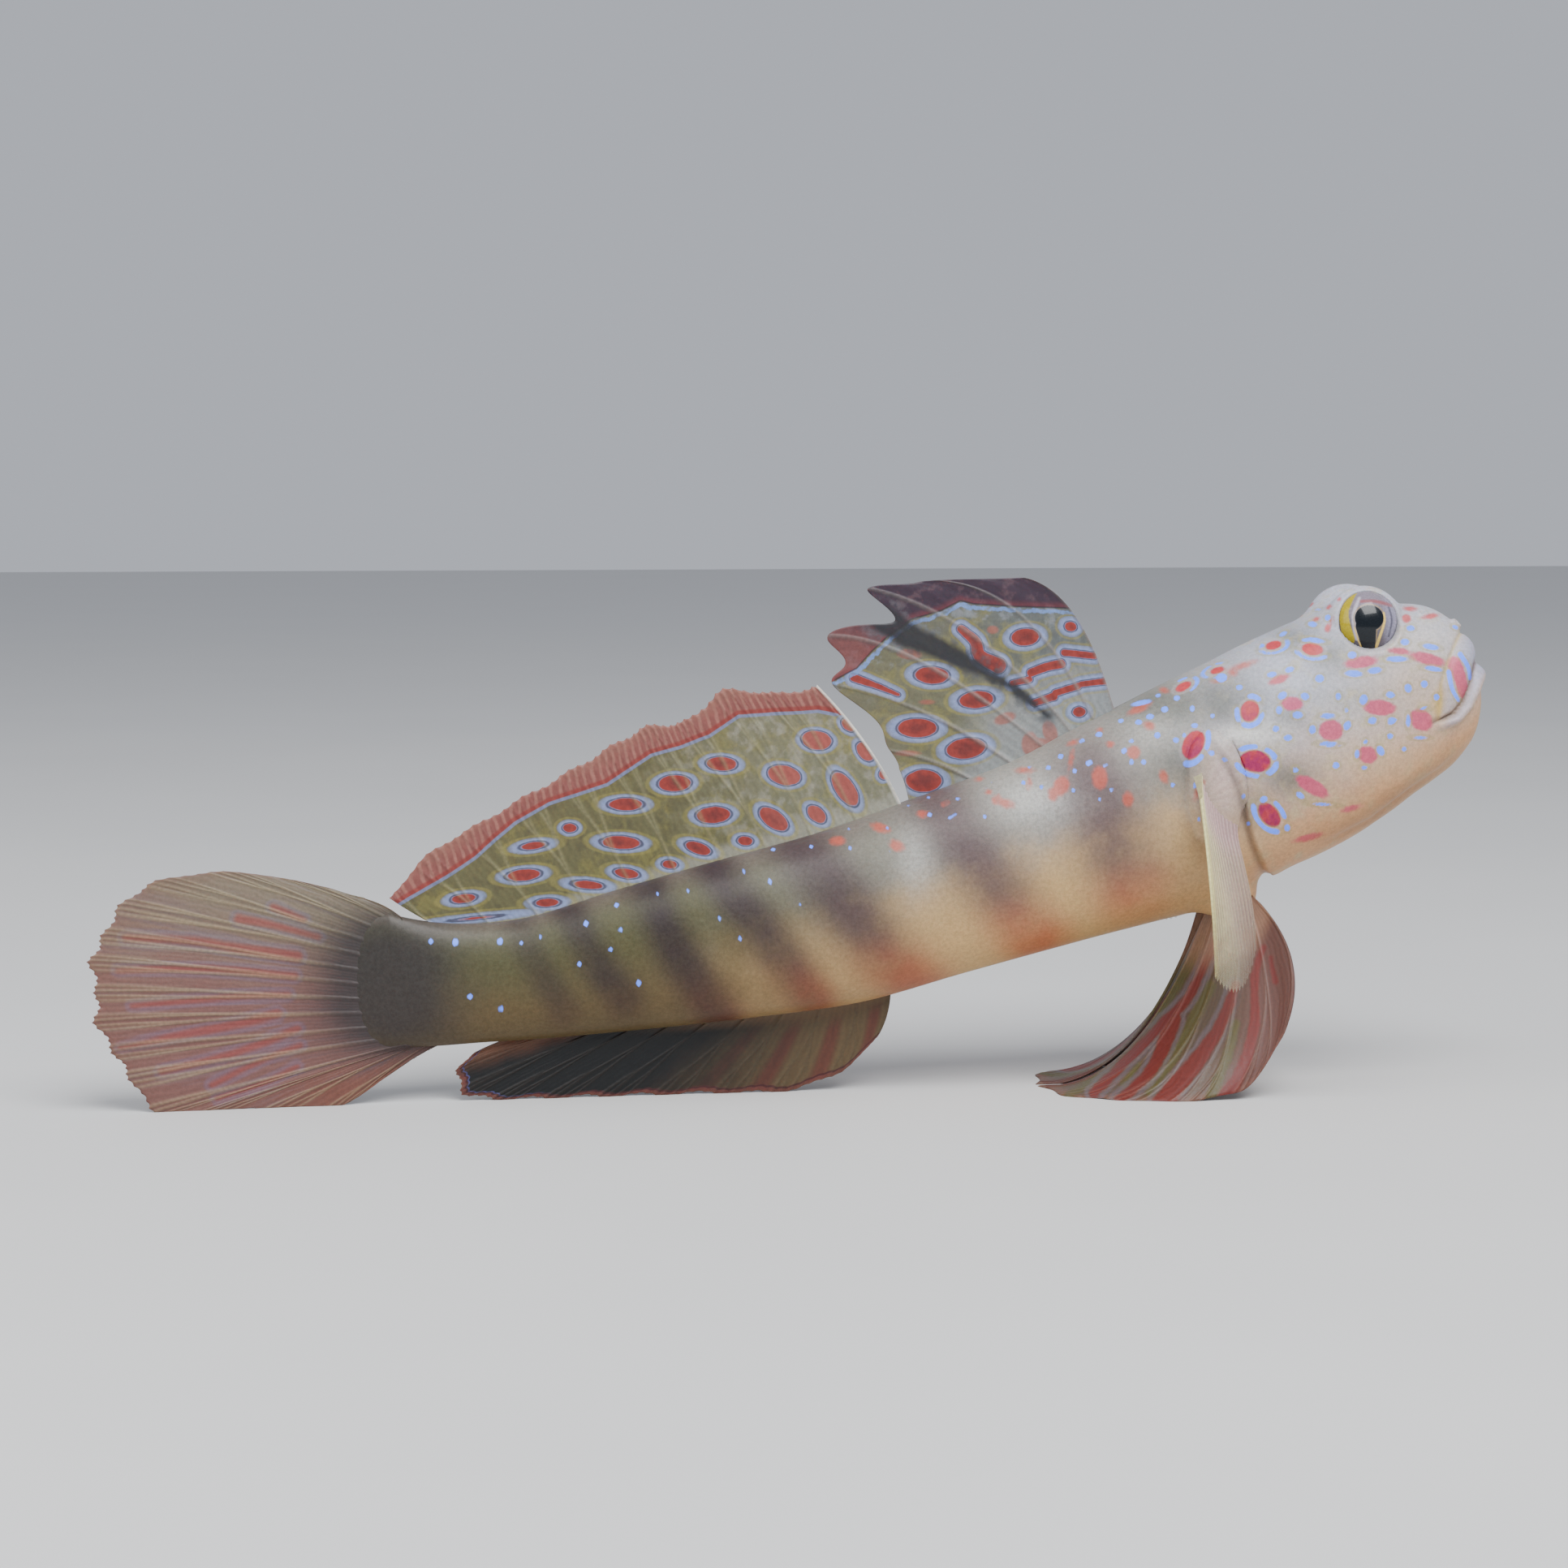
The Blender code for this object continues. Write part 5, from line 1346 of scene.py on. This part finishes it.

# The eye's parts in photo pixels: the ball as it is seen, the pupil and the lobe under it, which is painted
# shade of the eyecup seen through the cornea, the marks of the iris, and how far ahead of the ball's centre
# the iris's pale front begins and is full.
BALL_CENTRE = (1687, 764)
BALL_RADIUS = 38.0
PUPIL = (1687, 761.5, 36, 32)
# The lobe under the pupil: painted shade of the eyecup seen through the cornea.
PUPIL_SHADE_LOBE = (((1683, 772), (1685, 787), (1687, 802)), 26, 15)
GOLD_ARC = (((1705, 755), (1706, 766), (1701, 782), (1695, 799)), 2, 3.5)
GOLD_REAR = (((1669, 773), (1674, 790), (1680, 801)), 1.2, 1.8)
IRIS_STREAK = (((1677, 741), (1695, 741), (1719, 747)), 4, 5)
IRIS_PALE = (((1675, 737), (1669, 752), (1668, 766), (1672, 786)), 3, 6)
REAR_CRESCENT = (((1668, 730), (1659, 746), (1656, 762), (1662, 788)), 8, 15)
IRIS_FRONT = (14, 27)
FRONT_LINES = (
    (((1716, 742), (1722, 760), (1718, 782), (1704, 799)), 2, 2),
    (((1711, 748), (1715, 764), (1711, 784)), 2, 2),
)


def eye_piece(side, name, node):
    """Two half ellipsoids round the eye's outward axis: bulge * cos(a) outwards or back * cos(a) inwards,
    and radius * sin(a) across."""
    a = np.linspace(0, np.pi, EYE_RINGS)[:, None]
    turn = np.linspace(0, 2 * np.pi, EYE_AROUND, endpoint=False)[None, :]
    out = np.where(np.cos(a) > 0, EYE_BULGE, EYE_BACK) * np.cos(a) * np.ones_like(turn)
    fore = EYE_RADIUS * np.sin(a) * np.cos(turn)
    up = EYE_RADIUS * np.sin(a) * np.sin(turn)
    points = eye_centre(side) + np.stack([fore, out, up], axis=-1) @ eye_axes(side)
    u, v, _ = to_photo(folded(points))
    fields = {
        "pupil_and_shade": np.maximum(ellipse_field(u, v, (PUPIL,)), stroke_field(u, v, (PUPIL_SHADE_LOBE,))),
        "gold": stroke_field(u, v, (GOLD_ARC, GOLD_REAR)),
        "streak": stroke_field(u, v, (IRIS_STREAK,)),
        "light": stroke_field(u, v, (IRIS_PALE,)),
        "lines": stroke_field(u, v, FRONT_LINES),
        "crescent": stroke_field(u, v, (REAR_CRESCENT,)),
        "front": step(u - BALL_CENTRE[0], *IRIS_FRONT),
        "rim": np.hypot(u - BALL_CENTRE[0], v - BALL_CENTRE[1]) / BALL_RADIUS,
        "high": (BALL_CENTRE[1] - v) / BALL_RADIUS,
    }
    faces = quads(EYE_RINGS, EYE_AROUND, True)
    if side > 0:
        faces = faces[:, ::-1]
    add_piece(name, points.reshape(-1, 3), (faces,), fields, eye_material(name), (node,))


def eye_material(name):
    paint = Paint(
        f"goby_{name}", Coat_Weight=0.6, Coat_Roughness=0.03, Coat_IOR=1.4, Specular_IOR_Level=0.2,
    )
    pupil_and_shade, rim, high = paint.fields("pupil_and_shade", "rim", "high")
    flecks = paint.noise(5.0, 3.0, 0.7)
    paint.colour = paint.mix((104, 96, 106), (140, 130, 144), (high + (flecks - 0.5) * 0.6).step(-0.2, 0.6))
    paint.lay((164, 160, 186), paint.field("front") * 0.85)
    paint.lay((204, 196, 210), paint.field("light").step(-0.1, 0.08) * 0.85)
    paint.lay((60, 58, 70), paint.field("lines").step(-0.08, 0.05) * 0.7)
    paint.lay((160, 84, 88), paint.field("streak").step(-0.1, 0.12) * 0.8)
    crescent = (paint.field("crescent") + (flecks - 0.5) * 0.15).step(-0.06, 0.08)
    paint.lay((186, 166, 6), crescent * rim.step(1.05, 0.96))
    paint.lay((176, 148, 84), pupil_and_shade.band(-0.06, 0.02, 0.05) * 0.6)
    paint.lay((252, 214, 112), paint.field("gold").step(-0.06, 0.05))
    # The pupil, and under it the painted shade of the eyecup, both near black.
    paint.lay((6, 16, 24), pupil_and_shade.step(-0.03, 0.05))
    paint.lay((120, 116, 124), rim.step(0.95, 1.03) * 0.8)
    paint.shade(flecks.step(0.2, 0.8, 0.82, 1.12))
    return paint.finish(flecks.step(0.2, 0.8, 0.2, 0.32), flecks, 0.02, 0.3)


def build_skin():
    points, level = skin_grid()
    fields = skin_fields(points, level)
    faces = quads(points.shape[0], points.shape[1], True)[:, ::-1]
    nodes = ("head", "torso", "tail")
    add_piece("skin", points.reshape(-1, 3), (faces,), fields, skin_material(), nodes)
    return points


def build_first_dorsal():
    bends, tips = on_midline(FIRST_DORSAL_BENDS), on_midline(FIRST_DORSAL_TIPS)
    notches = np.array(FIRST_DORSAL_NOTCHES)
    roots = body_line(TOP, np.array(FIRST_DORSAL_FEET), FIN_SINK)
    fin = Fin(
        roots, bends, tips, per_ray=54, rows=120, notch=notches, ray_height=0.13, ray_width=0.2, forks=0.0,
    )
    u, v = fin.photo_place()
    fin.add(
        "dorsal_first", first_dorsal_material(),
        spot=np.maximum(ellipse_field(u, v, FIRST_DORSAL_SPOTS), stroke_field(u, v, FIRST_DORSAL_BARS)),
        faint=ellipse_field(u, v, FIRST_DORSAL_FAINT),
        streak=stroke_field(u, v, (FIRST_DORSAL_STREAK,)),
        line=margin_distance(u, v, FIRST_DORSAL_LINE),
    )


def build_second_dorsal():
    roots = body_line(TOP, np.linspace(*SECOND_DORSAL_BASE, len(SECOND_DORSAL_TIPS)), FIN_SINK)
    tips = on_midline(SECOND_DORSAL_TIPS)
    bends = middles_with(roots, tips, first=(1.3, 0.4), last=(-0.6, 0.1))
    fin = Fin(roots, bends, tips, per_ray=50, rows=96, notch=0.022, ripple=0.03, fringe=0.012)
    u, v = fin.photo_place()
    spots, line = ellipse_field(u, v, SECOND_DORSAL_SPOTS), margin_distance(u, v, SECOND_DORSAL_LINE)
    fin.add("dorsal_second", second_dorsal_material(), spot=spots, line=line)


def build_anal():
    roots = body_line(BOTTOM, np.linspace(*ANAL_BASE, len(ANAL_TIPS)), -FIN_SINK)
    tips = on_midline(ANAL_TIPS)
    bends = middles_with(roots, tips, first=(0.6, -0.5), last=(-0.6, 0.4))
    fin = Fin(roots, bends, tips, per_ray=44, rows=70, notch=0.04, ray_height=0.08, fringe=0.012)
    fin.add("anal", anal_material())


def build_caudal():
    feet = np.array(CAUDAL_FEET) + (CAUDAL_SINK, 0)
    roots = on_midline(evenly(feet, len(CAUDAL_TIPS)))
    tips = on_midline(CAUDAL_TIPS)
    bends = middles_with(roots, tips, first=(0.3, 0.5), last=(-0.2, 0.2))
    fin = Fin(roots, bends, tips, per_ray=34, rows=90, notch=0.02, ray_height=0.06, fringe=0.008)
    u, v = fin.photo_place()
    streaks, blotch = stroke_field(u, v, CAUDAL_STREAKS), stalk_blotch(u, v)
    fin.add("caudal", caudal_material(), streak=streaks, blotch=blotch)


def build_pectoral(skin, side, word, lift):
    foot = evenly(PECTORAL_FOOT, PECTORAL_RAYS)
    roots = np.array([(x, skin_at(skin, (0, 2), (x, z), side, 1) - side * PAIRED_SINK, z) for x, z in foot])
    tips = evenly(PECTORAL_TIPS, PECTORAL_RAYS)
    tips[:, 1] *= side
    tips[:, 2] += lift
    bends = roots * (0.35, 1, 0.45) + tips * (0.65, 0, 0.55)
    bends[:, 1] += side * (np.linspace(*PECTORAL_SPREAD, PECTORAL_RAYS) + PAIRED_SINK)
    fin = Fin(roots, bends, tips, per_ray=24, rows=90, notch=0.02, ray_height=0.07, ray_width=0.13)
    fin.add(f"pectoral_{word}", pectoral_material(f"goby_pectoral_{word}"))


def build_pelvic(skin, side, word):
    turn = np.array((1, side, 1))
    roots = np.array([
        (x, y * side, skin_at(skin, (0, 1), (x, y * side), side, 2) + PAIRED_SINK) for x, y in PELVIC_FEET
    ])
    bends, tips = np.array(PELVIC_BENDS) * turn, np.array(PELVIC_TIPS) * turn
    fin = Fin(roots, bends, tips, per_ray=64, rows=110, notch=0.03, ray_height=0.06)
    tables = {"red": PELVIC_REDS, "olive": PELVIC_OLIVES, "rear": (PELVIC_EDGE,)}
    marks = {name: stroke_field(*fin.photo_place(), strokes) for name, strokes in tables.items()}
    fin.add(f"pelvic_{word}", pelvic_material(f"goby_pelvic_{word}"), **marks)


# The stage in metres: half the floor's width, the sky, and each lamp's place, size and watts.
FLOOR_HALF = 1.5
SKY_COLOUR, SKY_STRENGTH = (0.86, 0.9, 1.0, 1), 0.58
LAMPS = {"key": ((0.10, -0.30, 0.45), 0.35, 4.4), "fill": ((-0.35, -0.15, 0.25), 0.4, 1.2)}
LAMP_TARGET = np.array((0.0, 0.0, 0.02))
SENSOR_WIDTH = 36.0


def build_stage():
    """A pale floor, two soft lamps, an even sky and the photo's camera."""
    mesh = bpy.data.meshes.new("floor")
    corners = [(x * FLOOR_HALF, y * FLOOR_HALF, 0) for x, y in ((-1, -1), (1, -1), (1, 1), (-1, 1))]
    mesh.from_pydata(corners, [], [(0, 1, 2, 3)])
    paint = Paint("floor_paint")
    grain = paint.noise(0.02, 3.0)
    paint.colour = paint.mix((222, 222, 222), (228, 228, 227), grain)
    paint.finish(grain.step(0.2, 0.8, 0.75, 0.85), grain, 0.02, 0.1)
    mesh.materials.append(paint.material)
    floor = place_in_scene("floor", mesh)

    world = bpy.data.worlds.new("sky")
    world.use_nodes = True
    sky = world.node_tree.nodes["Background"]
    sky.inputs["Color"].default_value = SKY_COLOUR
    sky.inputs["Strength"].default_value = SKY_STRENGTH
    bpy.context.scene.world = world
    for name, (place, size, watts) in LAMPS.items():
        lamp = bpy.data.lights.new(name, "AREA")
        lamp.size = size
        lamp.energy = watts
        holder = place_in_scene(name, lamp)
        x, y, z = LAMP_TARGET - place
        holder.location = place
        holder.rotation_euler = (math.atan2(math.hypot(x, y), -z), 0, math.atan2(-x, y))

    camera = bpy.data.cameras.new("camera")
    camera.sensor_width = SENSOR_WIDTH
    camera.lens = camera.sensor_width * FOCAL / PHOTO_SIDE
    camera.clip_start = 0.01
    holder = place_in_scene("camera", camera)
    holder.location = (CAMERA_TARGET + camera_axes()[2] * CAMERA_DISTANCE) * MM
    holder.rotation_euler = (math.pi / 2 - CAMERA_ELEVATION, 0, CAMERA_AZIMUTH)
    bpy.context.scene.camera = holder


def main():
    skin = build_skin()
    for side, word in ((-1, "right"), (1, "left")):
        eye_piece(side, f"eyeball_{word}", f"eye_{word}")
    build_first_dorsal()
    build_second_dorsal()
    build_anal()
    build_caudal()
    for side, word, lift in ((-1, "right", 0.0), (1, "left", LEFT_PECTORAL_LIFT)):
        build_pectoral(skin, side, word, lift)
        build_pelvic(skin, side, word)
    build_stage()


main()
